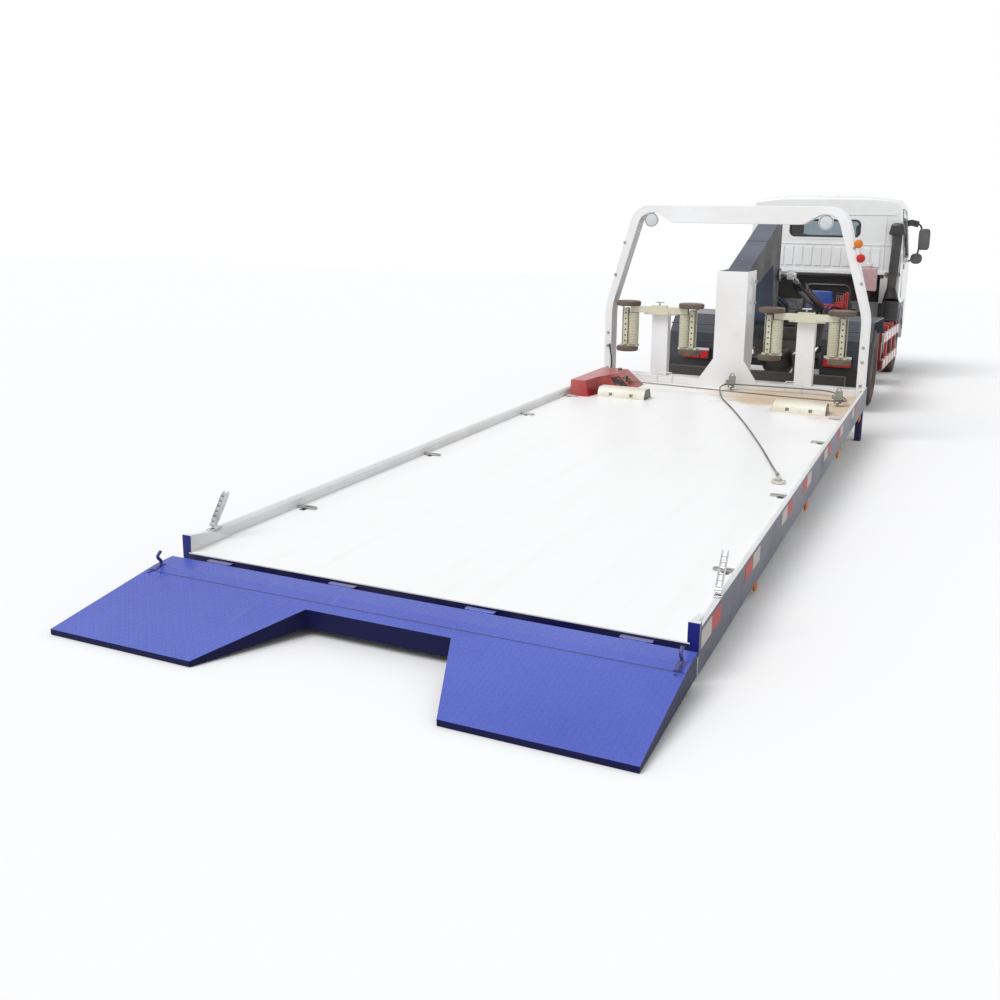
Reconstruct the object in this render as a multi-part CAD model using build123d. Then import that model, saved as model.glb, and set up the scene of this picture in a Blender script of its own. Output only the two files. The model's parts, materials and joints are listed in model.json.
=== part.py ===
# Full-landing flatbed tow truck: a cab-over light truck whose loading bed has been set down behind it.
# Millimetres. X to the truck's right, Y towards its nose, Z up, ground at Z = 0.
# The bed is drawn in its own frame, whose origin is the middle of the deck's rear edge, on the deck.
from build123d import *
from math import cos, hypot, radians, sin, tan
import os

# Driving dimensions of the bed
bed_tilt = 2.4
deck_half = 1150
deck_length = 5700
deck_plate = 5
rail_width = 33
rail_rise = 55
rail_drop = 120
post_rise = 75
post_length = 30
beam_drop = 110
main_beam_x = 400
main_beam_width = 80
cross_beam_width = 50
cross_beam_count = 9
rear_beam_depth = 70

# Driving dimensions of the tail ramp
ramp_half = 1160
ramp_reach = 696
ramp_tip_drop = 93
ramp_tip_thickness = 22
ramp_skin = 6
ramp_seam = 150
ramp_front = 54
ramp_front_drop = 5
ramp_front_depth = 90
notch_rear_half = 494
notch_front_half = 313
notch_front = 263
hinge_back = 35
hinge_drop = 25
hinge_knuckle = 14
hinge_pin = 8
hinge_places = (-930, -310, 310, 930)
hinge_knuckle_length = 90
hinge_lug = 12
hinge_line = (-hinge_back, -hinge_drop)

# Driving dimensions of the headboard, gantry, column and stools on the bed
gantry_y = 5500
gantry_depth = 150
gantry_post = 66
knee_height = 670
gantry_top_half = 900
gantry_height = 1560
gantry_bar = 150
gantry_arch_inner = 560
gantry_arch_outer = 700
headboard_height = 62
column_half = 134
column_height = 1010
column_wall = 12
column_depth = 200
column_flare_half = 300
column_flare_height = 250
stool_x = 640
stool_width = 150
stool_depth = 90
stool_height = 600
stool_plate = 300
saddle_rise = 20

# Driving dimensions of the wheel dollies
dolly_beam = 56
dolly_arm_x = 235
dolly_disc_x = 290
dolly_disc_radius = 98
dolly_disc_thickness = 42
roller_radius = 48
roller_length = 290
dolly_rod = 9
dolly_rod_x = 345
clamp_height = 40

# Driving dimensions of the fittings on the deck
winch_y = (4420, 5230)
winch_outer = 1085
winch_top_inner = 850
winch_foot_inner = 700
winch_height = 130
stop_x = (-662, 770)
stop_length = 400
stop_width = 190
stop_height = 78
stop_y = 4470
slot_places = (780, 2060, 3505, 4385)
slot_x = 1069
slot_length = 90
slot_width = 34
loop_x = 1062
loop_half = (50, 14)
loop_wire = 5
ratchet_places = ((-1, 165), (1, 340))
ratchet_lever = (24, 28, 40, 180)
pulley_radius = 32
pulley_width = 14
pulley_rope_height = 44
corner_pulley = (1000, 4940)
centre_pulley = (62, 5302)
lamp_places = (1060, 2520, 3950, 5330)
lamp_size = (24, 46, 50)
work_lamp_radius = 62
work_lamp_depth = 70
work_lamp_x = 745
leg_tube = 56
leg_y = 5520
leg_foot = 110
leg_foot_plate = 8
tail_roller_radius = 33
tail_roller_y = 62
tail_roller_x = 760
tail_roller_length = 160

# Driving dimensions of the rope on the deck
rope_radius = 5.5
hook_size = 46
hook_wire = 9

# Driving dimensions of the lift arm and its cylinders, in the ground frame from the deck's rear edge
arm_pivot = (6950, 920)
arm_eye_bed = (5620, 920)
arm_half = 98
arm_nose = 92
arm_knee = (7000, 1905)
arm_front = 7062
arm_back = 6740
arm_foot_radius = 105
arm_pin = 32
cylinder_eye = (7030, 1350)
cylinder_foot = (9300, 935)
cylinder_x = 215
barrel_radius = 62
barrel_bore = 50
rod_radius = 25
eye_radius = 44
eye_width = 50
cylinder_pin = 20
barrel_length = 1690
cross_pin_half = 262
cross_hole = 46
cheek_gap = 8
cheek_thickness = 22

# Driving dimensions of the chassis
frame_half = 425
frame_web = 60
frame_bottom = 585
frame_height = 200
frame_plate = 8
subframe_height = 90
subframe_width = 60
subframe_front = 10350
frame_rear = 6600
frame_front = 12360
frame_cross = (6640, 7300, 8600, 9400, 10480, 12300)
front_axle_y = 11700
rear_axle_y = 7900
wheel_radius = 400
tyre_width = 215
rim_radius = 204
kingpin_x = 765
front_wheel_x = 862
dual_gap = 245
rear_wheel_x = 785
axle_radius = 38

# Driving dimensions of the cab
cab_half = 1000
cab_rear = 10800
cab_front = 12750
cab_roof = 2360
cab_crown = 2425
cab_floor = 980
cab_wall = 42
cab_nose = 640
cab_corner = 110
tilt_pivot = (12450, 640)
tilt_pin = 16
tilt_lug_x = (365, 377, 413, 425)
cab_arch_y = 10930
tow_eye = (12480, 400)
tow_eye_radius = 20
tow_plate = 25
arch_radius = 520
rear_box_half = 760
rear_box_front = 11180
rear_box_top = 1310
lamp_x = (600, 860)
lamp_z = (720, 900)
grille_half = 560
grille_z = (1010, 1210)
door_y = (11300, 12290)
door_foot = 985
door_head = 2210
door_gap = 7
window_sill = 1590
rear_window_half = 465
rear_window_z = (1825, 2060)
glass = 6


def block(x, y, z):
    """A box between three pairs of limits."""
    size = [pair[1] - pair[0] for pair in (x, y, z)]
    middle = [(pair[0] + pair[1]) / 2 for pair in (x, y, z)]
    return Pos(*middle) * Box(*size)


def side_slab(outline, x):
    """A plate whose outline is drawn from the side, as (Y, Z) points, between two X limits."""
    plane = Plane(origin=(x[0], 0, 0), x_dir=(0, 1, 0), z_dir=(1, 0, 0))
    return extrude(plane * Polygon(*outline, align=None), x[1] - x[0], dir=(1, 0, 0))


def front_slab(outline, y):
    """A plate whose outline is drawn from behind, as (X, Z) points, between two Y limits."""
    plane = Plane(origin=(0, y[1], 0), x_dir=(1, 0, 0), z_dir=(0, -1, 0))
    return extrude(plane * Polygon(*outline, align=None), y[1] - y[0], dir=(0, -1, 0))


def plan_slab(outline, z):
    """A plate whose outline is drawn from above, as (X, Y) points, between two Z limits."""
    return extrude(Plane.XY.offset(z[0]) * Polygon(*outline, align=None), z[1] - z[0], dir=(0, 0, 1))


def bar(start, end, radius, bore=0):
    """A round bar or a tube between two points."""
    start, end = Vector(*start), Vector(*end)
    seat = (Align.CENTER, Align.CENTER, Align.MIN)
    plane = Plane(origin=start, z_dir=end - start)
    solid = plane * Cylinder(radius, (end - start).length, align=seat)
    if bore:
        solid -= plane * Cylinder(bore, (end - start).length, align=seat)
    return solid


def turned(profile):
    """A body turned about X from its (X, radius) outline."""
    return revolve(Plane.XZ * Polygon(*profile, align=None), Axis.X)


def both(solid):
    """A piece and its mirror image on the other side of the vehicle."""
    return solid + mirror(solid, Plane.YZ)


def joined(pieces):
    """Pieces welded into one."""
    whole = pieces[0]
    for piece in pieces[1:]:
        whole += piece
    return whole


# Where the bed stands: its ramp tips and its front legs touch the ground
tip_bottom = ramp_tip_drop + ramp_tip_thickness
deck_rear_z = ramp_reach * sin(radians(bed_tilt)) + tip_bottom * cos(radians(bed_tilt))


def bed_to_ground(y, z):
    """A point of the bed's side view in the ground frame."""
    turn = radians(bed_tilt)
    return y * cos(turn) - z * sin(turn), deck_rear_z + y * sin(turn) + z * cos(turn)


def ground_under(y):
    """How far below the deck's plane the ground lies, at a distance ahead of the rear edge."""
    return -(deck_rear_z + y * sin(radians(bed_tilt))) / cos(radians(bed_tilt))


arm_nose_y, arm_nose_z = bed_to_ground(*arm_eye_bed)
tip_y = bed_to_ground(-ramp_reach, -tip_bottom)[0]
middle_y = (tip_y + cab_front) / 2

bed = {}
truck = {}


# Bed: deck plate on two main beams and a row of cross beams, with slots cut for the tie-downs
def deck():
    inner = deck_half - rail_width
    plate = block((-inner, inner), (0, deck_length), (-deck_plate, 0))
    for place in slot_places:
        for side in (-1, 1):
            plate -= Pos(side * slot_x, place, -deck_plate / 2) * Box(slot_width, slot_length, deck_plate)
    beams = [plate]
    for side in (-1, 1):
        middle = side * main_beam_x
        span = (middle - main_beam_width / 2, middle + main_beam_width / 2)
        beams.append(block(span, (rear_beam_depth, deck_length), (-beam_drop, -deck_plate)))
    step = (deck_length - cross_beam_width - 2 * rear_beam_depth) / (cross_beam_count - 1)
    for row in range(cross_beam_count):
        start = 2 * rear_beam_depth + row * step
        beams.append(block((-inner, inner), (start, start + cross_beam_width), (-beam_drop / 2, -deck_plate)))
    return joined(beams)


# Bed: box-section side rails that stand above the deck and hang below it
def side_rails():
    outline = (
        (deck_half - rail_width, -rail_drop),
        (deck_half, -rail_drop),
        (deck_half, rail_rise),
        (deck_half - rail_width * 0.6, rail_rise),
        (deck_half - rail_width, rail_rise - rail_width * 0.4),
    )
    rail = front_slab(outline, (0, deck_length))
    rail += block((deck_half - rail_width, deck_half), (0, post_length), (-rail_drop, post_rise))
    gusset = side_slab(
        ((0, 0), (9 * post_length, 0), (5 * post_length, post_rise * 0.7),
         (post_length / 2, post_rise), (0, post_rise)),
        (deck_half - rail_width - 2 * deck_plate, deck_half - rail_width / 2),
    )
    return both(rail + gusset)


# Bed: rear cross beam with its hinge lugs, hinge pins and ground rollers
def rear_beam():
    inner = deck_half - rail_width
    pieces = [block((-inner, inner), (0, rear_beam_depth), (-beam_drop, -deck_plate))]
    for place in hinge_places:
        for side in (-1, 1):
            face = place + side * (hinge_knuckle_length / 2 + hinge_lug / 2 + 1)
            span = (face - hinge_lug / 2, face + hinge_lug / 2)
            lug = side_slab(
                ((0, hinge_knuckle - hinge_drop - 3), (-hinge_back, hinge_knuckle - hinge_drop),
                 (-hinge_back, -hinge_knuckle - hinge_drop), (0, -2 * hinge_drop - hinge_knuckle)),
                span,
            )
            lug += bar((span[0], *hinge_line), (span[1], *hinge_line), hinge_knuckle)
            pieces.append(lug)
        reach = hinge_knuckle_length / 2 + hinge_lug + 1
        pieces.append(bar((place - reach, *hinge_line), (place + reach, *hinge_line), hinge_pin))
    for side in (-1, 1):
        middle = side * tail_roller_x
        centre_z = ground_under(tail_roller_y) + tail_roller_radius
        ends = (middle - tail_roller_length / 2, middle + tail_roller_length / 2)
        pieces.append(bar((ends[0], tail_roller_y, centre_z), (ends[1], tail_roller_y, centre_z),
                          tail_roller_radius))
    return joined(pieces)


# Tail ramp: chequer-plate wedge with a notch between its two tongues, open underneath
def tail_ramp():
    plan = (
        (-ramp_half, -ramp_front), (ramp_half, -ramp_front), (ramp_half, -ramp_reach),
        (notch_rear_half, -ramp_reach), (notch_front_half, -notch_front),
        (-notch_front_half, -notch_front), (-notch_rear_half, -ramp_reach), (-ramp_half, -ramp_reach),
    )
    depth = 2 * ramp_front_depth
    top = ((-ramp_front, -ramp_front_drop), (-ramp_seam, -2 * ramp_front_drop), (-ramp_reach, -ramp_tip_drop))
    outer = top + ((-ramp_reach, -tip_bottom), (-ramp_front, -ramp_front_drop - ramp_front_depth))
    inner = tuple((y, z - ramp_skin) for y, z in top)
    inner += ((-ramp_reach, -depth), (-ramp_front, -depth))
    body = plan_slab(plan, (-depth, 0)) & side_slab(outer, (-ramp_half, ramp_half))
    inset = Plane.XY.offset(-depth) * offset(Polygon(*plan, align=None), -ramp_skin)
    hollow = extrude(inset, depth, dir=(0, 0, 1))
    body -= hollow & side_slab(inner, (-ramp_half, ramp_half))
    for place in (-1, 1):
        for share in (0.55, 0.8):
            middle = place * share * ramp_half
            rib = side_slab(outer, (middle - ramp_skin / 2, middle + ramp_skin / 2))
            body += rib
    for place in hinge_places:
        span = (place - hinge_knuckle_length / 2, place + hinge_knuckle_length / 2)
        knuckle = block(span, (-ramp_front - ramp_skin, -hinge_back),
                        (-hinge_drop - hinge_knuckle, -hinge_drop))
        knuckle += bar((span[0], *hinge_line), (span[1], *hinge_line), hinge_knuckle)
        knuckle -= bar((span[0], *hinge_line), (span[1], *hinge_line), hinge_pin + 0.5)
        body += knuckle
    return body


# Headboard beam with the arched gantry and the two stool posts that carry the dollies
def gantry():
    span = (gantry_y - gantry_depth / 2, gantry_y + gantry_depth / 2)
    half = deck_half
    outer = Polygon(
        (-half, 0), (-half, knee_height), (-gantry_top_half, gantry_height),
        (gantry_top_half, gantry_height), (half, knee_height), (half, 0), align=None,
    )
    outer = fillet(outer.vertices().group_by(Axis.Y)[-1], gantry_post)
    foot, knee, head = half - gantry_post, half - gantry_post, gantry_top_half - 1.2 * gantry_post
    shoulder = gantry_height - gantry_post
    bar_foot = gantry_height - gantry_bar
    inner = Polygon(
        (-foot, 0), (-knee, knee_height), (-head, shoulder), (-gantry_arch_outer, shoulder),
        (-gantry_arch_inner, bar_foot), (gantry_arch_inner, bar_foot), (gantry_arch_outer, shoulder),
        (head, shoulder), (knee, knee_height), (foot, 0), align=None,
    )
    plane = Plane(origin=(0, span[1], 0), x_dir=(1, 0, 0), z_dir=(0, -1, 0))
    frame = extrude(plane * (outer - inner), gantry_depth, dir=(0, -1, 0))
    for side in (-1, 1):
        seat = sorted((side * (half - rail_width), side * half))
        frame -= block(seat, span, (0, rail_rise))
    beam = block((-foot, foot), span, (0, headboard_height))
    stool_span = (gantry_y - stool_depth / 2, gantry_y + stool_depth / 2)
    pieces = [frame, beam]
    for side in (-1, 1):
        middle = side * stool_x
        post = (middle - stool_width / 2, middle + stool_width / 2)
        saddle = (middle - stool_plate / 2, middle + stool_plate / 2)
        pieces.append(block(post, stool_span, (headboard_height, stool_height)))
        pieces.append(block(saddle, stool_span, (stool_height, stool_height + saddle_rise)))
    return joined(pieces)


# White column of the bed: a channel that is open towards the truck and takes the lift arm's nose
def lift_column():
    back = gantry_y + gantry_depth / 2
    front = back + column_depth
    outline = (
        (-column_flare_half, 0), (column_flare_half, 0), (column_half, column_flare_height),
        (column_half, column_height), (-column_half, column_height), (-column_half, column_flare_height),
    )
    web = front_slab(outline, (back - gantry_depth - column_wall, back - gantry_depth))
    cheeks = []
    for side in (-1, 1):
        span = sorted((side * column_half, side * (column_half - column_wall)))
        cheek = side_slab(
            ((back - gantry_depth, 0), (deck_length, 0), (front, column_flare_height),
             (front, column_height), (back - gantry_depth, column_height)), span)
        cheeks.append(cheek - block(span, (back - gantry_depth, back), (0, headboard_height)))
    eye_y, eye_z = arm_eye_bed
    reach = column_half + 2 * column_wall
    pin = bar((-reach, eye_y, eye_z), (reach, eye_y, eye_z), arm_pin)
    lock_z = eye_z - 2 * arm_nose
    lock = bar((-reach, eye_y, lock_z), (reach, eye_y, lock_z), cylinder_pin)
    return web + cheeks[0] + cheeks[1] + pin + lock


# Wheel dollies: each hangs on a stool by its beam, with two roller arms down and four disc wheels
def dolly(middle):
    beam_z = stool_height + saddle_rise
    beam_y = (gantry_y - stool_depth / 2 - dolly_beam, gantry_y - stool_depth / 2)
    reach = dolly_arm_x + dolly_beam / 2
    pieces = [block((middle - reach, middle + reach), beam_y, (beam_z, beam_z + dolly_beam))]
    centre_y = (beam_y[0] + beam_y[1]) / 2
    pieces.append(block((middle - stool_plate / 2, middle + stool_plate / 2), (centre_y, gantry_y),
                        (beam_z, beam_z + saddle_rise)))
    pieces.append(bar((middle, centre_y, beam_z), (middle, centre_y, beam_z + dolly_beam + clamp_height),
                      dolly_rod))
    pieces.append(bar((middle - clamp_height, centre_y, beam_z + dolly_beam + clamp_height),
                      (middle + clamp_height, centre_y, beam_z + dolly_beam + clamp_height), dolly_rod))
    foot_z = beam_z - roller_length
    rod_z = beam_z + dolly_beam / 2
    for side in (-1, 1):
        arm_x = middle + side * dolly_arm_x
        rod_x = middle + side * dolly_rod_x
        disc_x = middle + side * dolly_disc_x
        pieces.append(bar((arm_x, centre_y, foot_z), (arm_x, centre_y, beam_z), roller_radius))
        pieces.append(bar((rod_x, centre_y, foot_z), (rod_x, centre_y, rod_z), dolly_rod))
        pieces.append(bar((arm_x, centre_y, rod_z), (rod_x, centre_y, rod_z), dolly_rod))
        shelf = sorted((arm_x - side * roller_radius, rod_x + side * dolly_rod))
        pieces.append(block(shelf, beam_y, (foot_z - 2 * dolly_rod, foot_z)))
        for low in (foot_z - 2 * dolly_rod - dolly_disc_thickness, beam_z + dolly_beam):
            pieces.append(bar((disc_x, centre_y, low), (disc_x, centre_y, low + dolly_disc_thickness),
                              dolly_disc_radius))
    return joined(pieces)


# Route of the winch rope: taut from the winch to the corner pulley and back, then slack to the hook
rope_route = (
    (-810, 5015, 58), (1035, 4868, 46), (1068, 4990, 46), (1012, 5140, 46), (958, 5262, 46), (880, 5376, 46),
    (758, 5402, 46), (150, 5362, 46), (20, 5350, 45), (-16, 5234, 40), (8, 5108, 24), (44, 4990, 11),
    (76, 4888, 7), (113, 4790, 7), (179, 4640, 7), (243, 4490, 7), (303, 4345, 7), (361, 4200, 7),
    (420, 4050, 7), (478, 3900, 7), (532, 3755, 7), (587, 3605, 7), (641, 3455, 7), (693, 3310, 7),
    (746, 3160, 7), (795, 3015, 7), (845, 2865, 7), (894, 2715, 8), (941, 2570, 12), (985, 2440, 16),
)


# Red winch cover against the left rail, with the rope's mouth in its sloping side
def winch_box():
    foot = ((-winch_outer, winch_y[0]), (-925, winch_y[0]), (-890, 4680), (-winch_foot_inner, 4930),
            (-winch_foot_inner, winch_y[1]), (-winch_outer, winch_y[1]))
    top = ((-winch_outer, winch_y[0] + 15), (-960, winch_y[0] + 15), (-935, 4690), (-winch_top_inner, 4945),
           (-winch_top_inner, winch_y[1] - 10), (-winch_outer, winch_y[1] - 10))
    sections = [Plane.XY * Polygon(*foot, align=None),
                Plane.XY.offset(winch_height) * Polygon(*top, align=None)]
    cover = loft(sections, ruled=True)
    mouth_y = rope_route[0][1]
    return cover - block((rope_route[0][0] - 0.6, 0), (mouth_y - 60, mouth_y + 60), (20, 96))


# Cream wheel stops on the deck
def wheel_stops():
    pieces = []
    for middle in stop_x:
        span = (middle - stop_length / 2, middle + stop_length / 2)
        crown = stop_y + stop_width / 2
        shape = bar((span[0], crown, 0), (span[1], crown, 0), stop_width / 2)
        shape &= block(span, (stop_y, stop_y + stop_width), (0, stop_height))
        for share in (-0.22, 0.22):
            place = middle + share * stop_length
            shape -= block((place - 14, place + 14), (stop_y, stop_y + 40), (14, 40))
        pieces.append(shape)
    return pieces[0] + pieces[1]


# Wire loops in the deck's slots, chrome strap tensioners at the rear corners, rope pulleys
def deck_fittings():
    pieces = []
    across, along = loop_half
    for place in slot_places:
        for side in (-1, 1):
            corners = [(side * loop_x + x, place + y, loop_wire)
                       for x, y in ((-across, -along), (across, -along), (across, along), (-across, along))]
            pieces += [bar(start, end, loop_wire) for start, end in zip(corners, corners[1:] + corners[:1])]
    width, thick, lean, high = ratchet_lever
    for side, y in ratchet_places:
        foot_x = side * (deck_half - 2 * rail_width)
        span = sorted((foot_x, foot_x - side * width))
        low = high / 9
        lever = side_slab(((y, low), (y + thick, low), (y + thick + lean, high), (y + lean, high)), span)
        pieces.append(block(span, (y, y + thick), (0, high / 6)) + lever)
    for x, y in (corner_pulley, centre_pulley):
        top = pulley_rope_height + pulley_width / 2
        sheave = bar((x, y, top - pulley_width), (x, y, top), pulley_radius)
        axle = bar((x, y, 0), (x, y, top + pulley_width), pulley_radius / 2)
        plate = block((x - pulley_radius, x + pulley_radius), (y - pulley_radius, y + pulley_radius),
                      (0, deck_plate))
        pieces.append(sheave + axle + plate)
    return joined(pieces)


# Front legs under the rails
def support_legs():
    outer = deck_half - 1
    foot_top = ground_under(leg_y) + leg_foot_plate * 2
    leg = block((outer - leg_tube, outer), (leg_y - leg_tube / 2, leg_y + leg_tube / 2),
                (foot_top, -rail_drop))
    heel, toe = leg_y - leg_foot / 2, leg_y + leg_foot / 2
    foot = side_slab(
        ((heel, ground_under(heel)), (toe, ground_under(toe)), (toe, foot_top), (heel, foot_top)),
        (outer - leg_tube, outer))
    return both(leg + foot)


# Amber marker lamps hung under the rails, round work lamps in the gantry's corners, lamps on its right post
def bed_lamps():
    width, length, height = lamp_size
    pieces = []
    for place in lamp_places:
        lamp = block((deck_half - width - 2, deck_half - 2), (place - length / 2, place + length / 2),
                     (-rail_drop - height, -rail_drop))
        pieces.append(both(lamp))
    lamp_z = gantry_height - gantry_post - work_lamp_radius
    face = gantry_y - gantry_depth / 2
    work = bar((work_lamp_x, face, lamp_z), (work_lamp_x, face + work_lamp_depth, lamp_z), work_lamp_radius)
    pieces.append(both(work))
    return joined(pieces)


def rope_path():
    """Straight runs joined by arcs as large as the runs allow."""
    points = [Vector(*point) for point in rope_route]
    radii = []
    for before, here, after in zip(points, points[1:], points[2:]):
        turn = radians((here - before).get_angle(after - here))
        run = min((here - before).length, (after - here).length)
        radii.append(0.45 * run / tan(turn / 2))
    print("rope radii", [round(value) for value in radii])
    return FilletPolyline(*points, radius=radii)


def winch_rope():
    path = rope_path()
    start = Plane(origin=path @ 0, z_dir=path % 0)
    tube = sweep(start * Circle(rope_radius), path=path)
    print("rope length", round(path.length))
    return tube


# Hook at the rope's end, lying on the deck
def rope_hook():
    x, y, z = rope_route[-1]
    shank = bar((x + 1, y - 2, z), (x + 22, y - 64, hook_wire), hook_wire)
    bend = hook_size - hook_wire
    ring = [(x + 22 + bend * cos(radians(turn)), y - 100 + bend * sin(radians(turn)), hook_wire)
            for turn in (90, 130, 170, 210, 250, 290, 330, 360)]
    return joined([shank] + [bar(start, end, hook_wire) for start, end in zip(ring, ring[1:])])


bed["deck"] = deck()
bed["side_rails"] = side_rails()
bed["rear_beam"] = rear_beam()
bed["tail_ramp"] = tail_ramp()
bed["gantry"] = gantry()
bed["lift_column"] = lift_column()
bed["dolly_left"] = dolly(-stool_x)
bed["dolly_right"] = dolly(stool_x)
bed["winch_box"] = winch_box()
bed["wheel_stops"] = wheel_stops()
bed["deck_fittings"] = deck_fittings()
bed["support_legs"] = support_legs()
bed["bed_lamps"] = bed_lamps()
bed["winch_rope"] = winch_rope()
bed["rope_hook"] = rope_hook()


# Lift arm: a boxed gooseneck from the chassis tail, over the headboard's back, to the bed's column
def lift_arm():
    pivot_y, pivot_z = arm_pivot
    outline = (
        (arm_nose_y, arm_nose_z - arm_nose), (arm_nose_y + 2 * arm_nose, arm_nose_z - arm_nose),
        (arm_back - 60, 1440), (arm_back, 1330), (pivot_y - arm_foot_radius, pivot_z),
        (pivot_y + arm_foot_radius, pivot_z), (arm_front, 1250), (arm_front, 1840), arm_knee,
        (arm_nose_y + 30, arm_nose_z + arm_nose), (arm_nose_y, arm_nose_z + arm_nose),
    )
    body = side_slab(outline, (-arm_half, arm_half))
    body += bar((-arm_half, arm_nose_y, arm_nose_z), (arm_half, arm_nose_y, arm_nose_z), arm_nose)
    body += bar((-arm_half, pivot_y, pivot_z), (arm_half, pivot_y, pivot_z), arm_foot_radius)
    body += bar((-arm_half, *cylinder_eye), (arm_half, *cylinder_eye), cross_hole + 30)
    body -= bar((-arm_half, *cylinder_eye), (arm_half, *cylinder_eye), cross_hole)
    body -= bar((-arm_half, arm_nose_y, arm_nose_z), (arm_half, arm_nose_y, arm_nose_z), arm_pin + 1)
    body -= bar((-arm_half, pivot_y, pivot_z), (arm_half, pivot_y, pivot_z), arm_pin + 1)
    return body


# Arm pedestal at the chassis tail: cheeks that hold the arm's pivot pin, bed rollers and cylinder feet
def arm_pedestal():
    pivot_y, pivot_z = arm_pivot
    base = frame_bottom + frame_height + subframe_height
    inner = arm_half + cheek_gap
    pieces = []
    for side in (-1, 1):
        span = sorted((side * inner, side * (inner + cheek_thickness)))
        cheek = side_slab(
            ((pivot_y - 250, base - 150), (pivot_y + 420, base - 150), (pivot_y + 420, base + 10),
             (pivot_y + arm_foot_radius, pivot_z + 60), (pivot_y + 50, pivot_z + arm_foot_radius),
             (pivot_y - 50, pivot_z + arm_foot_radius), (pivot_y - 250, base + 10)), span)
        pieces.append(cheek)
    reach = inner + 2 * cheek_thickness
    pieces.append(bar((-reach, pivot_y, pivot_z), (reach, pivot_y, pivot_z), arm_pin))
    inner_rail = frame_half - frame_web / 2 - subframe_width / 2
    for y in (pivot_y - 200, pivot_y + 370):
        pieces.append(block((-inner_rail, inner_rail), (y - 40, y + 40),
                            (base - 150, base - subframe_height + 60)))
    foot_y, foot_z = cylinder_foot
    gap = eye_width / 2 + 2
    for side in (-1, 1):
        for edge in (-1, 1):
            face = side * cylinder_x + edge * (gap + cheek_thickness / 2)
            span = (face - cheek_thickness / 2, face + cheek_thickness / 2)
            pieces.append(side_slab(
                ((foot_y - 120, base - 120), (foot_y + 120, base - 120),
                 (foot_y + eye_radius, foot_z + eye_radius), (foot_y - eye_radius, foot_z + eye_radius)),
                span))
        reach = gap + cheek_thickness
        ends = [(side * cylinder_x + end * reach, foot_y, foot_z) for end in (-1, 1)]
        pieces.append(bar(*ends, cylinder_pin))
    pieces.append(block((-inner_rail, inner_rail), (foot_y - 120, foot_y + 120), (base - 140, base - 100)))
    return joined(pieces)


# Lift cylinders: barrels hinged at the chassis, rods whose eyes carry the cross pin through the arm
cylinder_run = (cylinder_eye[0] - cylinder_foot[0], cylinder_eye[1] - cylinder_foot[1])
cylinder_reach = hypot(*cylinder_run)
cylinder_way = (cylinder_run[0] / cylinder_reach, cylinder_run[1] / cylinder_reach)


def on_cylinder(x, distance):
    """A point on a cylinder's centre line, at a distance from its foot pin."""
    return x, cylinder_foot[0] + distance * cylinder_way[0], cylinder_foot[1] + distance * cylinder_way[1]


def cylinder_barrels():
    pieces = []
    for x in (-cylinder_x, cylinder_x):
        tube = bar(on_cylinder(x, 2 * eye_radius), on_cylinder(x, barrel_length), barrel_radius)
        tube -= bar(on_cylinder(x, 3 * eye_radius), on_cylinder(x, barrel_length), barrel_bore)
        ends = [(x + end * eye_width / 2, *cylinder_foot) for end in (-1, 1)]
        foot = bar(*ends, eye_radius)
        foot += bar(on_cylinder(x, 0), on_cylinder(x, 2 * eye_radius + 1), eye_width / 2)
        foot -= bar(*ends, cylinder_pin + 0.5)
        pieces.append(tube + foot)
    return pieces[0] + pieces[1]


def cylinder_rods():
    pieces = []
    for x in (-cylinder_x, cylinder_x):
        rod = bar(on_cylinder(x, barrel_length - 380), on_cylinder(x, cylinder_reach), rod_radius)
        rod += bar(on_cylinder(x, barrel_length - 380), on_cylinder(x, barrel_length - 320), barrel_bore - 1)
        rod += bar((x - eye_width / 2, *cylinder_eye), (x + eye_width / 2, *cylinder_eye), eye_radius)
        pieces.append(rod)
    pieces.append(bar((-cross_pin_half, *cylinder_eye), (cross_pin_half, *cylinder_eye), cylinder_pin - 1))
    washer = (arm_half + cheek_gap, arm_half + 2 * cheek_gap)
    pieces.append(both(bar((washer[0], *cylinder_eye), (washer[1], *cylinder_eye), cross_hole + 20)))
    return joined(pieces)


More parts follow.
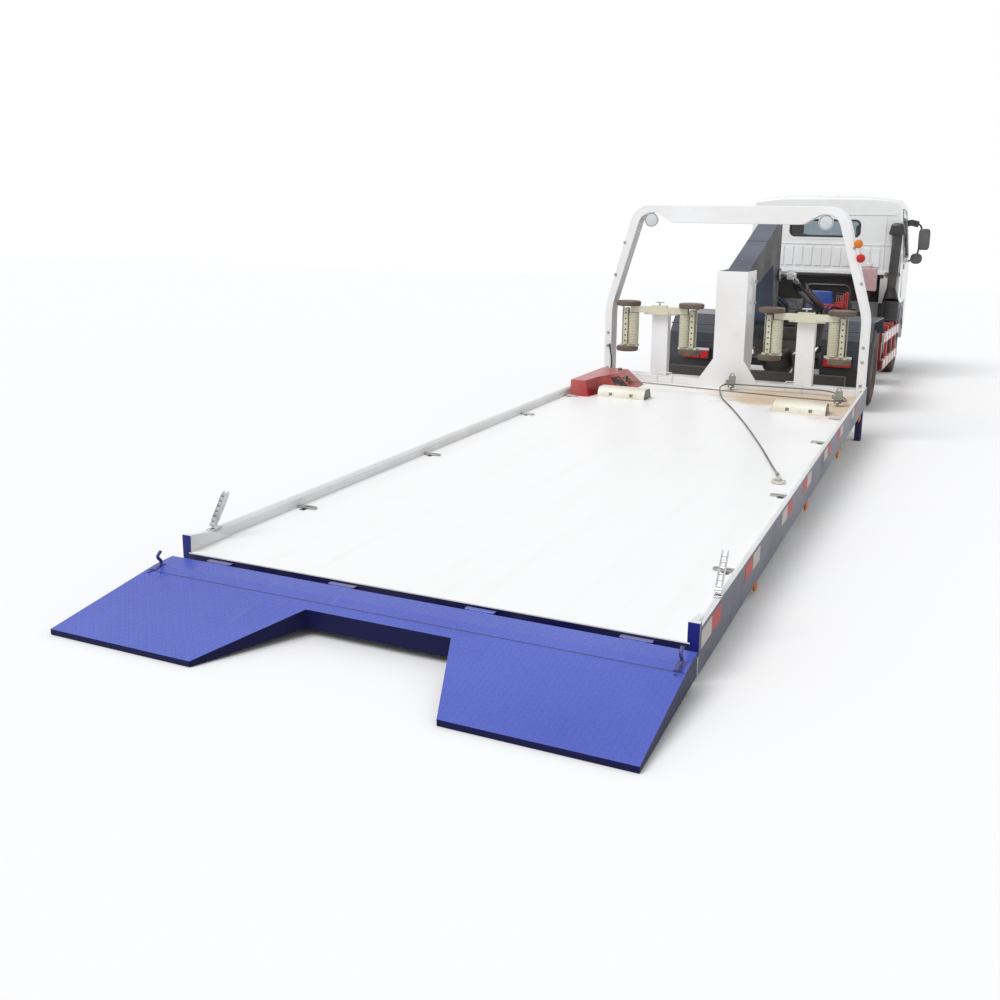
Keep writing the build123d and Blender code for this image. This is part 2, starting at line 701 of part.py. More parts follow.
# Chassis frame: two channel rails with cross members, and the subframe that lies on them
def chassis_frame():
    top = frame_bottom + frame_height
    outline = (
        (frame_half - frame_web, frame_bottom), (frame_half, frame_bottom), (frame_half, top),
        (frame_half - frame_web, top), (frame_half - frame_web, top - frame_plate),
        (frame_half - frame_plate, top - frame_plate), (frame_half - frame_plate, frame_bottom + frame_plate),
        (frame_half - frame_web, frame_bottom + frame_plate),
    )
    pieces = [both(front_slab(outline, (frame_rear, frame_front)))]
    for y in frame_cross:
        pieces.append(block((-frame_half + frame_plate, frame_half - frame_plate), (y - 35, y + 35),
                            (frame_bottom + 60, top - 60)))
    middle = frame_half - frame_web / 2
    rail = block((middle - subframe_width / 2, middle + subframe_width / 2), (frame_rear, subframe_front),
                 (top, top + subframe_height))
    pieces.append(both(rail))
    lug = side_slab(
        ((frame_front - 100, frame_bottom + 10), (tilt_pivot[0] + 40, frame_bottom + 10),
         (tilt_pivot[0] + 40, tilt_pivot[1] + 40), (frame_front - 100, top - 40)), tilt_lug_x[:2])
    pieces.append(both(lug + Pos(tilt_lug_x[3] - tilt_lug_x[1], 0, 0) * lug))
    pieces.append(both(bar((tilt_lug_x[0], *tilt_pivot), (tilt_lug_x[-1], *tilt_pivot), tilt_pin)))
    toe, low, high = tow_eye[0] + 2 * tow_eye_radius, tow_eye[1], tow_eye[1] + tow_plate
    hook = side_slab(
        ((frame_front - 36, frame_bottom), (frame_front - 36, low), (toe, low), (toe, high),
         (frame_front, high), (frame_front, frame_bottom)), (frame_half - frame_web, frame_half))
    eye = Pos(frame_half - frame_web / 2, tow_eye[0], tow_eye[1] + tow_plate / 2)
    hook += eye * Cylinder(2 * tow_eye_radius, tow_plate)
    pieces.append(both(hook - eye * Cylinder(tow_eye_radius, tow_plate)))
    span = (cab_arch_y, cab_arch_y + 60)
    arch = block((frame_half - 1, rear_box_half + 40), span, (top - 60, top))
    arch += block((rear_box_half - 10, rear_box_half + 40), span, (top - 60, cab_floor))
    pieces.append(both(arch))
    return joined(pieces)


# Engine with its gearbox between the rails, under the cab
def engine_block():
    engine = block((-300, 300), (11220, 12000), (440, 960))
    gearbox = block((-170, 170), (10620, 11220), (460, 800))
    foot = block((280, frame_half - frame_plate), (11520, 11640), (610, 680))
    engine = fillet(engine.edges().filter_by(Axis.Y), 60)
    gearbox = fillet(gearbox.edges().filter_by(Axis.Y), 40)
    return engine + gearbox + both(foot)


# Front axle beam with kingpins and leaf springs
def front_axle():
    beam_z = wheel_radius - 10
    drop = block((-620, 620), (front_axle_y - 35, front_axle_y + 35), (beam_z - 95, beam_z - 20))
    pieces = [drop]
    for side in (-1, 1):
        arm = front_slab(
            ((side * 600, beam_z - 95), (side * (kingpin_x - 60), beam_z - 30),
             (side * kingpin_x, beam_z - 30), (side * kingpin_x, beam_z + 30),
             (side * (kingpin_x - 40), beam_z + 30), (side * 600, beam_z - 20)),
            (front_axle_y - 34, front_axle_y + 34))
        pivot = (side * kingpin_x, front_axle_y)
        arm += bar((*pivot, beam_z - 30), (*pivot, beam_z + 30), 34)
        pin = bar((*pivot, beam_z - 90), (*pivot, beam_z + 90), 18)
        spring = leaf_spring(side * (frame_half - frame_web / 2), front_axle_y, beam_z - 20, 620)
        pieces += [arm, pin, spring]
    return joined(pieces)


def leaf_spring(x, y, seat_z, half):
    """A leaf spring on an axle: a shallow bow of stacked leaves whose ends reach the frame rail."""
    rise = frame_bottom - seat_z - 30
    span = (x - 32, x + 32)
    bow = side_slab(
        ((y - half, seat_z + rise), (y - half, seat_z + rise + 26), (y - half / 3, seat_z + 60),
         (y + half / 3, seat_z + 60), (y + half, seat_z + rise + 26), (y + half, seat_z + rise),
         (y + half / 4, seat_z), (y - half / 4, seat_z)), span)
    for end in (-1, 1):
        bow += block(span, sorted((y + end * half, y + end * (half - 60))), (seat_z + rise, frame_bottom))
    return bow


# Rear axle with its banjo housing, springs and propeller shaft
def rear_axle():
    z = wheel_radius
    pieces = [bar((-rear_wheel_x - 160, rear_axle_y, z), (rear_wheel_x + 160, rear_axle_y, z), axle_radius),
              bar((-540, rear_axle_y, z), (540, rear_axle_y, z), 62),
              Pos(0, rear_axle_y, z) * Sphere(175)]
    for side in (-1, 1):
        pieces.append(leaf_spring(side * (frame_half - frame_web / 2), rear_axle_y, z + 50, 640))
        seat = side * (frame_half - frame_web / 2)
        pieces.append(block((seat - 40, seat + 40), (rear_axle_y - 60, rear_axle_y + 60), (z, z + 60)))
    pieces.append(bar((0, rear_axle_y, z), (0, 10612, 560), 42))
    return joined(pieces)


# Wheels: tyre rings on steel rims
def tyre(x):
    half = tyre_width / 2
    profile = (
        (x - 0.7 * half, rim_radius), (x - half, rim_radius + 0.45 * (wheel_radius - rim_radius)),
        (x - 0.94 * half, wheel_radius - 26), (x - 0.78 * half, wheel_radius),
        (x + 0.78 * half, wheel_radius), (x + 0.94 * half, wheel_radius - 26),
        (x + half, rim_radius + 0.45 * (wheel_radius - rim_radius)), (x + 0.7 * half, rim_radius),
    )
    return turned(profile)


def rim(x, facing):
    """A rim whose disc stands out towards the facing side, in one turned section."""
    half = 0.7 * tyre_width / 2
    ring = turned(((x - half, rim_radius - 14), (x - half, rim_radius), (x + half, rim_radius),
                   (x + half, rim_radius - 14)))
    disc_x = x + facing * half * 0.55
    disc = turned(tuple((disc_x + facing * step, radius) for step, radius in (
        (-6, 60), (-6, 110), (-26, rim_radius - 40), (-26, rim_radius - 14), (-14, rim_radius - 14),
        (-14, rim_radius - 40), (6, 110), (6, 60))))
    for hole in range(8):
        turn = 360 / 8 * hole
        eye = Rot(X=turn) * bar((disc_x - 60, 0, 138), (disc_x + 60, 0, 138), 20)
        disc -= eye
    return ring + disc


wheel_seat = Pos(0, front_axle_y, wheel_radius)
dual_seat = Pos(0, rear_axle_y, wheel_radius)


def front_rim(side):
    x = side * front_wheel_x
    hub = turned(((x - side * 20, 26), (x - side * 20, 62), (x + side * 58, 62), (x + side * 70, 50),
                  (x + side * 110, 44), (x + side * 110, 0), (x + side * 96, 0), (x + side * 96, 26)))
    return wheel_seat * (rim(x, side) + hub)


def rear_rim(side):
    x = side * rear_wheel_x
    inner = rim(x - side * dual_gap / 2, side)
    outer = rim(x + side * dual_gap / 2, -side)
    hub = turned(((x - side * 90, axle_radius + 0.4), (x - side * 90, 90), (x + side * 60, 90),
                  (x + side * 70, 60), (x + side * 185, 55), (x + side * 185, 0),
                  (x + side * 170, 0), (x + side * 170, axle_radius + 0.4)))
    web = turned(((x - side * 82, 60), (x - side * 82, 115), (x + side * 82, 115), (x + side * 82, 60)))
    return dual_seat * (inner + outer + hub + web)


# Steering knuckle: a yoke round the kingpin eye with its wheel spindle and track arm
def knuckle(side):
    z = wheel_radius - 10
    pieces = []
    for low, high in ((z - 82, z - 36), (z + 36, z + 82)):
        boss = bar((side * kingpin_x, front_axle_y, low), (side * kingpin_x, front_axle_y, high), 34)
        boss -= bar((side * kingpin_x, front_axle_y, low), (side * kingpin_x, front_axle_y, high), 18.5)
        pieces.append(boss)
    outer = side * (kingpin_x + 44)
    pieces.append(block(sorted((outer, outer + side * 20)), (front_axle_y - 40, front_axle_y + 40),
                        (z - 82, z + 82)))
    for low, high in ((z - 82, z - 36), (z + 36, z + 82)):
        span = sorted((side * (kingpin_x + 24), outer))
        pieces.append(block(span, (front_axle_y - 26, front_axle_y + 26), (low, high)))
    end = side * (front_wheel_x + 90)
    pieces.append(bar((outer, front_axle_y, wheel_radius), (end, front_axle_y, wheel_radius), 25))
    return joined(pieces)


for name, side in (("left", -1), ("right", 1)):
    truck["knuckle_" + name] = knuckle(side)
    truck["front_tyre_" + name] = wheel_seat * tyre(side * front_wheel_x)
    truck["front_rim_" + name] = front_rim(side)
    truck["rear_tyres_" + name] = (dual_seat * tyre(side * (rear_wheel_x - dual_gap / 2))
                                   + dual_seat * tyre(side * (rear_wheel_x + dual_gap / 2)))
    truck["rear_rims_" + name] = rear_rim(side)


# Rear mudguards with slate back plates and hanging flaps
def mudguards():
    spread = (dual_gap + tyre_width) / 2
    inner, outer = rear_wheel_x - spread - 10, rear_wheel_x + spread + 12
    back = 7160
    top = 905
    outline = (
        (back, 250), (back + 10, 250), (back + 10, 700), (back + 190, top - 10),
        (back + 1300, top - 10), (back + 1450, 720), (back + 1460, 720), (back + 1310, top),
        (back + 180, top), (back, 720),
    )
    guard = side_slab(outline, (inner, outer))
    bracket = block((frame_half, inner + 80), (rear_axle_y - 30, rear_axle_y + 30), (top - 60, top - 10))
    return both(guard), both(bracket)


# Tail lamps in front of the mudguards' back plates
def tail_lamps():
    return both(block((580, 865), (7110, 7160), (445, 565)))


# Striped side guards between the wheels
def side_guards():
    pieces = []
    for low in (300, 610):
        pieces.append(block((1010, 1040), (8640, 10960), (low, low + 110)))
    for y in (8700, 9500, 10250, 10880):
        pieces.append(block((980, 1010), (y - 30, y + 30), (290, 760)))
        pieces.append(block((frame_half, 1010), (y - 30, y + 30), (720, 760)))
    return both(joined(pieces))


def fuel_tank():
    tank = block((frame_half + 20, 940), (9650, 10150), (330, 700))
    tank = fillet(tank.edges().filter_by(Axis.Y), 60)
    return tank + block((frame_half, frame_half + 21), (9750, 10050), (600, 700))


def battery_box():
    box = block((-940, -frame_half - 20), (9640, 10160), (380, 700))
    return box + block((-frame_half - 21, -frame_half), (9750, 10050), (600, 700))


# Blue oil tank of the lift hydraulics with its valve bank, on a shelf across the subframe
def hydraulic_unit():
    top = frame_bottom + frame_height + subframe_height
    shelf = block((-frame_half, frame_half), (10050, 10340), (top, top + 12))
    tank = block((-60, 250), (10080, 10320), (top + 12, top + 252))
    bank = block((290, 400), (10080, 10300), (top + 12, top + 120))
    for step in range(4):
        bank += bar((305 + 26 * step, 10130, top + 119), (305 + 26 * step, 10110, top + 230), 7)
    return shelf + tank + bank


# Exhaust silencer under the left rail, with its pipe from the engine's rear face
exhaust_route = (
    (-620, 9445, 480), (-620, 9530, 480), (-320, 9600, 500), (-320, 10900, 500), (-250, 11188, 540),
)


def silencer():
    can = bar((-620, 8700, 480), (-620, 9450, 480), 100)
    pipe = bar((-620, 8701, 480), (-620, 8560, 440), 32)
    for start, end in zip(exhaust_route, exhaust_route[1:]):
        pipe += bar(start, end, 32) + Pos(*end) * Sphere(32)
    span = (9060, 9100)
    hanger = block((-640, -frame_half), span, (560, 640)) + block((-640, -600), span, (500, 600))
    return can + pipe + hanger


# Air cleaner drum behind the cab's right corner, under the snorkel
def air_cleaner():
    drum = bar((930, 10640, 760), (930, 10640, 1020), 105)
    bracket = block((frame_half, 930), (10610, 10670), (700, 760))
    return drum + bracket


def coolant_bottle():
    bottle = fillet(block((520, 740), (10470, 10620), (1140, 1430)).edges().filter_by(Axis.Z), 30)
    neck = bar((630, 10545, 1429), (630, 10545, 1480), 40)
    span = (10520, 10570)
    stand = block((600, 660), span, (760, 1140)) + block((frame_half, 660), span, (720, 760))
    return bottle + neck, stand


truck["lift_arm"] = lift_arm()
truck["arm_pedestal"] = arm_pedestal()
truck["cylinder_barrels"] = cylinder_barrels()
truck["cylinder_rods"] = cylinder_rods()
truck["chassis_frame"] = chassis_frame()
truck["engine_block"] = engine_block()
truck["front_axle"] = front_axle()
truck["rear_axle"] = rear_axle()
guards, guard_brackets = mudguards()
truck["mudguards"] = guards + guard_brackets
truck["tail_lamps"] = tail_lamps()
truck["side_guards"] = side_guards()
truck["fuel_tank"] = fuel_tank()
truck["battery_box"] = battery_box()
truck["hydraulic_unit"] = hydraulic_unit()
truck["silencer"] = silencer()
bottle, stand = coolant_bottle()
truck["air_cleaner"] = air_cleaner() + stand
truck["coolant_bottle"] = bottle


# Cab: side outline crossed with a rounded front outline, hollowed, with the doors and windows cut out
def cab_form(inset):
    """The cab's outer form, or the same form inset by a wall."""
    rear, front, roof = cab_rear + inset, cab_front - inset, cab_roof - inset
    side = Polygon(
        (rear, cab_floor - 420), (rear, roof), (cab_front - 700, cab_crown - inset),
        (cab_front - 470, cab_crown - 40 - inset), (front - 130, window_sill - 10), (front, 1300),
        (front, cab_floor - 420), align=None)
    side = fillet(side.vertices().sort_by(Axis.Y)[-3:], 60)
    plane = Plane(origin=(-cab_half, 0, 0), x_dir=(0, 1, 0), z_dir=(1, 0, 0))
    form = extrude(plane * side, 2 * cab_half, dir=(1, 0, 0))
    half = cab_half - inset
    face = Polygon(
        (-half, 0), (-half, window_sill - 60), (-half + 75, cab_crown - inset),
        (half - 75, cab_crown - inset), (half, window_sill - 60), (half, 0), align=None)
    face = fillet(face.vertices().sort_by(Axis.Y)[-2:], cab_corner)
    across = Plane(origin=(0, cab_front, 0), x_dir=(1, 0, 0), z_dir=(0, -1, 0))
    form &= extrude(across * face, cab_front - cab_rear, dir=(0, -1, 0))
    top = Polygon(
        (-half, rear), (-half, front - 2 * cab_corner), (-half + 1.2 * cab_corner, front - 0.3 * cab_corner),
        (0, front), (half - 1.2 * cab_corner, front - 0.3 * cab_corner), (half, front - 2 * cab_corner),
        (half, rear), align=None)
    return form & extrude(top, 2 * cab_crown, dir=(0, 0, 1))


def side_opening(gap):
    """The door's outline on the cab's side, drawn in by a gap."""
    return (
        (door_y[0] + gap, door_foot + 190), (door_y[0] + gap, door_head - gap),
        (door_y[1] - 330 - gap, door_head - gap), (door_y[1] - gap, window_sill - gap),
        (door_y[1] - gap, door_foot + gap), (door_y[0] + 620, door_foot + gap),
        (door_y[0] + 330, door_foot + 120),
    )


def window_opening(gap):
    """The door window's outline on the cab's side, drawn in by a gap."""
    return (
        (door_y[0] + 110 + gap, window_sill + gap), (door_y[0] + 110 + gap, door_head - 90 - gap),
        (door_y[1] - 420 - gap, door_head - 90 - gap), (door_y[1] - 110 - gap, window_sill + gap),
    )


def screen_opening():
    """The windscreen's outline, through the cab's face."""
    half, head = cab_half - 110, cab_crown - 130
    return front_slab(
        ((-half, window_sill + 10), (half, window_sill + 10), (half - 80, head), (-half + 80, head)),
        (cab_front - 650, cab_front + 1))


def cab_shell():
    outer = cab_form(0)
    inner = cab_form(cab_wall) & block((-cab_half, cab_half), (cab_rear, cab_front),
                                       (cab_floor + cab_wall, 2 * cab_roof))
    shell = outer - inner
    shell += block((-rear_box_half - 40, rear_box_half + 40), (cab_rear, rear_box_front + 40),
                   (cab_floor, rear_box_top + 40))
    shell -= block((-rear_box_half, rear_box_half), (cab_rear - 1, rear_box_front), (0, rear_box_top))
    full = (-cab_half - 1, cab_half + 1)
    shell -= side_slab(side_opening(0), full)
    shell -= block(full, (cab_rear - 1, door_y[1] - 130), (0, cab_floor))
    shell -= block((-cab_half + 180, cab_half - 180), (cab_rear - 1, cab_front - cab_wall), (0, cab_floor))
    shell -= block(full, (cab_rear - 1, cab_front + 1), (0, cab_nose))
    shell -= bar((full[0], front_axle_y, wheel_radius), (full[1], front_axle_y, wheel_radius), arch_radius)
    shell -= block((-rear_window_half, rear_window_half), (cab_rear - 1, cab_rear + cab_wall + 1),
                   rear_window_z)
    shell -= both(block(lamp_x, (cab_front - 110, cab_front + 1), lamp_z))
    arm_x = (tilt_lug_x[1] + 2, tilt_lug_x[2] - 2)
    arm = block(arm_x, (tilt_pivot[0] - 36, tilt_pivot[0] + 36), (tilt_pivot[1], cab_floor + 1))
    arm += bar((arm_x[0], *tilt_pivot), (arm_x[1], *tilt_pivot), 36)
    arm -= bar((arm_x[0], *tilt_pivot), (arm_x[1], *tilt_pivot), tilt_pin + 0.5)
    shell += both(arm)
    shell -= block((-grille_half, grille_half), (cab_front - 61, cab_front + 1), grille_z)
    return shell - screen_opening()


def cab_glass():
    span = (-rear_window_half, rear_window_half)
    middle = cab_rear + cab_wall / 2
    rear = block(span, (middle - glass / 2, middle + glass / 2), rear_window_z)
    sheet = cab_form(cab_wall / 3) - cab_form(cab_wall / 3 + glass)
    return rear, sheet & screen_opening()


def door(side):
    """A door skin with its window cut, on one side of the cab."""
    span = sorted((side * (cab_half - 260), side * (cab_half + 1)))
    leaf = (cab_form(0) - cab_form(cab_wall)) & block(span, (cab_rear, cab_front), (0, cab_roof))
    leaf &= side_slab(side_opening(door_gap), span)
    leaf -= side_slab(window_opening(0), span)
    return leaf


def door_glass(side):
    sheet = cab_form(cab_wall / 3) - cab_form(cab_wall / 3 + glass)
    span = sorted((side * (cab_half - 260), side * (cab_half + 1)))
    return sheet & side_slab(window_opening(0), span)


truck["cab_shell"] = cab_shell()
rear_glass, screen_glass = cab_glass()
truck["cab_glass"] = rear_glass + screen_glass
for name, side in (("left", -1), ("right", 1)):
    truck["door_" + name] = door(side)
    truck["door_glass_" + name] = door_glass(side)


# Grille, bumper and lamps on the cab's face
def grille():
    face = cab_front
    pieces = [block((-grille_half, grille_half), (face - 60, face - 30), grille_z)]
    for step in range(4):
        low = 1022 + 48 * step
        pieces.append(block((-grille_half, grille_half), (face - 31, face - 12), (low, low + 26)))
    return joined(pieces)


def front_bumper():
    outline = ((-990, cab_front - 240), (-860, cab_front - 60), (-500, cab_front), (500, cab_front),
               (860, cab_front - 60), (990, cab_front - 240), (900, cab_front - 240), (500, cab_front - 60),
               (-500, cab_front - 60), (-900, cab_front - 240))
    return plan_slab(outline, (430, cab_nose))


def front_lamps():
    return both(block(lamp_x, (cab_front - 110, cab_front - 30), lamp_z))


def seats():
    pieces = []
    for middle in (-480, 480):
        pieces.append(block((middle - 250, middle + 250), (11320, 11820), (1120, 1290)))
        back = ((11320, 1290), (11450, 1290), (11350, 1960), (11240, 1960))
        pieces.append(side_slab(back, (middle - 230, middle + 230)))
        pieces.append(block((middle - 180, middle + 180), (11350, 11750), (cab_floor + cab_wall, 1120)))
    return joined(pieces)


def dashboard():
    board = side_slab(((12330, 1250), (12330, 1470), (12420, 1540), (cab_front, 1540), (cab_front, 1250)),
                      (-cab_half, cab_half)) & cab_form(cab_wall)
    hub = Vector(-480, 12080, 1500)
    column = bar((-480, 12340, 1380), tuple(hub), 24)
    tilt = Plane(origin=hub, z_dir=(0, -0.5, 0.75))
    wheel = tilt * (Cylinder(214, 28) - Cylinder(186, 28))
    for turn in (90, 210, 330):
        spoke = tilt * (Rot(Z=turn) * (Pos(100, 0, 0) * Box(200, 26, 12)))
        wheel += spoke
    return board + column + wheel


def mirrors():
    pieces = []
    for side in (-1, 1):
        arm = bar((side * (cab_half - 100), 12300, 2050), (side * 1150, 12380, 2020), 14)
        arm += bar((side * 1150, 12380, 2060), (side * 1150, 12380, 1560), 14)
        arm += block(sorted((side * 1090, side * 1270)), (12350, 12400), (1680, 2000))
        arm += block(sorted((side * 1100, side * 1260)), (12350, 12400), (1500, 1660))
        pieces.append(arm)
    return pieces[0] + pieces[1] - cab_form(0)


def snorkel():
    tube = block((870, 985), (10690, 10790), (1060, 1900))
    cap = block((825, 1010), (10660, 10795), (1870, 2020))
    ears = block((800, 1000), (10760, cab_rear), (1340, 1380))
    return tube + cap + ears


truck["grille"] = grille()
truck["front_bumper"] = front_bumper()
truck["front_lamps"] = front_lamps()
truck["seats"] = seats()
truck["dashboard"] = dashboard()
truck["mirrors"] = mirrors()
truck["snorkel"] = snorkel()

os.makedirs("parts", exist_ok=True)
to_middle = Pos(0, -middle_y, 0)
bed_seat = to_middle * Pos(0, 0, deck_rear_z) * Rot(X=bed_tilt)
for name, shape in bed.items():
    export_step(bed_seat * shape, "parts/" + name + ".step")
for name, shape in truck.items():
    export_step(to_middle * shape, "parts/" + name + ".step")
print("nodes", len(bed) + len(truck), "middle", middle_y)
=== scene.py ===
# A flatbed tow truck whose loading bed has been set down behind it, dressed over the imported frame.
# Metres; X to the truck's right, Y towards its nose, Z up, the ground at zero.
import json
import bmesh
import bpy
import numpy as np
from mathutils import Matrix

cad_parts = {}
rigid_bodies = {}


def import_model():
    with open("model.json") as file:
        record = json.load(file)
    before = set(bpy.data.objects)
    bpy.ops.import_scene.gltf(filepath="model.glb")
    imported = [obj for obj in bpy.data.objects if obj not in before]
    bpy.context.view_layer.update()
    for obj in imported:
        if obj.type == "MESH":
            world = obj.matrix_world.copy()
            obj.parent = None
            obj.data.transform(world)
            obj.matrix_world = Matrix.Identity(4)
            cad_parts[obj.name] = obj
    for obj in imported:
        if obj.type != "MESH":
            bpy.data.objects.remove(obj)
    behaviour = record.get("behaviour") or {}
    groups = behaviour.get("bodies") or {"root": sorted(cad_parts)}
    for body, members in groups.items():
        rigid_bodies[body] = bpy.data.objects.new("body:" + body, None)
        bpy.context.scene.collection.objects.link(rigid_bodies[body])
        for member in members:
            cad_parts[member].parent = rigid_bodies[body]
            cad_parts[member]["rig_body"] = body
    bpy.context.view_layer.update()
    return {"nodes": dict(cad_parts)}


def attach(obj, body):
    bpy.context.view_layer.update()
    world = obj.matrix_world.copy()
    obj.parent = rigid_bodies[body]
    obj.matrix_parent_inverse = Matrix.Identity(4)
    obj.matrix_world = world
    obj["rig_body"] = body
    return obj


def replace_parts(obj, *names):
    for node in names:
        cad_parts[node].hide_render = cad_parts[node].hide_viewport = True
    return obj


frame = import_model()
nodes = frame["nodes"]
both_sides = (("left", -1), ("right", 1))

# The floor under the truck and the plain light of a pale yard. The world shows white to the camera
# and in reflections, and lights the truck no more than a dull sky would.
scene = bpy.context.scene
scene.view_settings.view_transform = "Standard"


def give(node, values):
    """Sets inputs of a node, each to a number, a colour or the output of another node."""
    for name, value in values.items():
        socket = node.inputs[name]
        if isinstance(value, bpy.types.NodeSocket):
            socket.id_data.links.new(value, socket)
        else:
            socket.default_value = (*value, 1) if socket.type == "RGBA" else value


def made(tree, kind, values, output=0, **settings):
    """One output of a new node that has been set and given its inputs."""
    node = tree.nodes.new("ShaderNode" + kind)
    for name, setting in settings.items():
        setattr(node, name, setting)
    give(node, values)
    return node.outputs[output]


pale_yard = bpy.data.materials.new("pale_yard")
pale_yard.use_nodes = True
give(pale_yard.node_tree.nodes["Principled BSDF"],
     {"Base Color": (0.97, 0.97, 0.97), "Roughness": 0.95, "Specular IOR Level": 0.1})
ground_half, ground_level = 60.0, -0.002
corners = [(x * ground_half, y * ground_half, ground_level) for x, y in ((-1, -1), (1, -1), (1, 1), (-1, 1))]
ground_mesh = bpy.data.meshes.new("yard")
ground_mesh.from_pydata(corners, [], [(0, 1, 2, 3)])
ground_mesh.materials.append(pale_yard)
yard = bpy.data.objects.new("yard", ground_mesh)
scene.collection.objects.link(yard)

sky = bpy.data.worlds.new("plain_sky")
scene.world = sky
sky.use_nodes = True
sky_tree = sky.node_tree
ray = sky_tree.nodes.new("ShaderNodeLightPath").outputs
sight = made(sky_tree, "Math", {0: ray["Is Camera Ray"], 1: ray["Is Glossy Ray"]}, operation="MAXIMUM")
sight = made(sky_tree, "Math", {0: sight, 1: ray["Is Transmission Ray"]}, operation="MAXIMUM")
sky_light = sky_tree.nodes["Background"]
give(sky_light, {"Color": (0.97, 0.98, 1.0), "Strength": 0.60})
seen_sky = made(sky_tree, "Background", {"Color": (1, 1, 1), "Strength": 1.0})
give(sky_tree.nodes["World Output"],
     {"Surface": made(sky_tree, "MixShader", {"Fac": sight, 1: sky_light.outputs[0], 2: seen_sky})})
sun = bpy.data.lights.new("veiled_sun", "SUN")
sun.energy, sun.angle = 1.75, np.radians(35)
sun_holder = bpy.data.objects.new("veiled_sun", sun)
scene.collection.objects.link(sun_holder)
sun_holder.rotation_euler = np.radians((34, -22, 0))

# The camera stands behind the bed, to the right of its middle, where the photograph was taken.
# Its angles were measured against the bed, which leans forward and up by the bed's tilt.
bed_tilt = np.radians(2.4)
bed_rear = np.array((0.0, -6.0297, 0.1442))
bed_nodes = {"side_rails", "rear_beam", "tail_ramp", "gantry", "lift_column", "dolly_left", "dolly_right",
             "winch_box", "wheel_stops", "deck_fittings", "bed_lamps"}


def on_bed(points):
    """Points of the bed's own frame (origin mid rear edge, on the deck), tilted up about X and
    moved to where the bed's rear edge stands."""
    points = np.asarray(points, float)
    x, y, z = points[..., 0], points[..., 1], points[..., 2]
    tilted = np.stack((x, y * np.cos(bed_tilt) - z * np.sin(bed_tilt),
                       y * np.sin(bed_tilt) + z * np.cos(bed_tilt)), -1)
    return tilted + bed_rear


def on_truck(points):
    """Points of the truck, Y measured from the bed's rear edge on the ground, as the bed's are."""
    return np.asarray(points, float) + (0, bed_rear[1], 0)


def seated(points, node):
    """Points of a piece set in place by the node that it belongs to. The rope's are in place."""
    if node in ("winch_rope", "rope_hook"):
        return points
    return on_bed(points) if node in bed_nodes else on_truck(points)


turn_left, look_down, lean = np.radians((23.11, 12.02, 0.82))
level_ahead = np.array((-np.sin(turn_left), np.cos(turn_left), 0))
level_right = np.array((np.cos(turn_left), np.sin(turn_left), 0))
ahead = level_ahead * np.cos(look_down) - np.array((0, 0, np.sin(look_down)))
upward = level_ahead * np.sin(look_down) + np.array((0, 0, np.cos(look_down)))
right = level_right * np.cos(lean) + upward * np.sin(lean)
upward = upward * np.cos(lean) - level_right * np.sin(lean)
eye_spot = on_bed((1.914, -3.23, 1.455))
sight = on_bed(np.array((right, upward, -ahead))) - bed_rear
camera_data = bpy.data.cameras.new("photo_camera")
camera = bpy.data.objects.new("photo_camera", camera_data)
scene.collection.objects.link(camera)
camera.matrix_world = Matrix.Translation(eye_spot) @ Matrix(sight.T.tolist()).to_4x4()
camera_data.sensor_width = 36
camera_data.lens = 36.16
camera_data.shift_x = -0.040
camera_data.shift_y = -0.0706
camera_data.clip_end = 200
scene.camera = camera

# Bed deck: a white painted steel plate on cross beams. Shoes and tyres have dulled its paint in
# streaks along the bed, and dry earth lies before the headboard, most of it on the right.


def new_finish(name):
    """An empty material, its shader and the place of each point on the object."""
    material = bpy.data.materials.new(name)
    material.use_nodes = True
    tree = material.node_tree
    return material, tree.nodes["Principled BSDF"], tree.nodes.new("ShaderNodeTexCoord").outputs["Object"]


def stretched(place, sizes):
    """Places divided along X, Y and Z by three sizes, so that a pattern on them grows by those sizes."""
    return made(place.id_data, "Mapping", {"Scale": [1 / size for size in sizes], "Vector": place})


def ranged(value, low, high, start=0.0, end=1.0):
    """A value carried straight from the range low to high onto the range start to end."""
    limits = {"From Min": low, "From Max": high, "To Min": start, "To Max": end}
    return made(value.id_data, "MapRange", {**limits, "Value": value}, "Result")


def clouds(place, size, low, high, detail=4):
    """Soft patches of the given size: fractal noise whose values from low to high become 0 to 1."""
    noise = {"Scale": 1 / size, "Detail": detail, "Roughness": 0.6, "Vector": place}
    return ranged(made(place.id_data, "TexNoise", noise, "Fac"), low, high)


def combined(way, first, second=0.0):
    """A value joined to another value or a number by a plain sum such as POWER or FRACT."""
    return made(first.id_data, "Math", {0: first, 1: second}, operation=way)


def times(first, second):
    """The product of two values."""
    return combined("MULTIPLY", first, second)


def plus(first, second):
    """The sum of two values."""
    return combined("ADD", first, second)


def larger(first, second):
    """The larger of two values."""
    return combined("MAXIMUM", first, second)


def blended(share, first, second):
    """A colour that goes from the first to the second as the share goes from 0 to 1."""
    return made(share.id_data, "Mix", {"Factor": share, 6: first, 7: second}, 2, data_type="RGBA")


def raised(shader, height, depth, strength):
    """A relief on the surface, as deep in metres as its height pattern is tall."""
    relief = {"Strength": strength, "Distance": depth, "Height": height}
    give(shader, {"Normal": made(height.id_data, "Bump", relief)})


def axis_of(place, axis):
    """One coordinate of a place: X, Y or Z."""
    return made(place.id_data, "SeparateXYZ", {0: place}, axis)


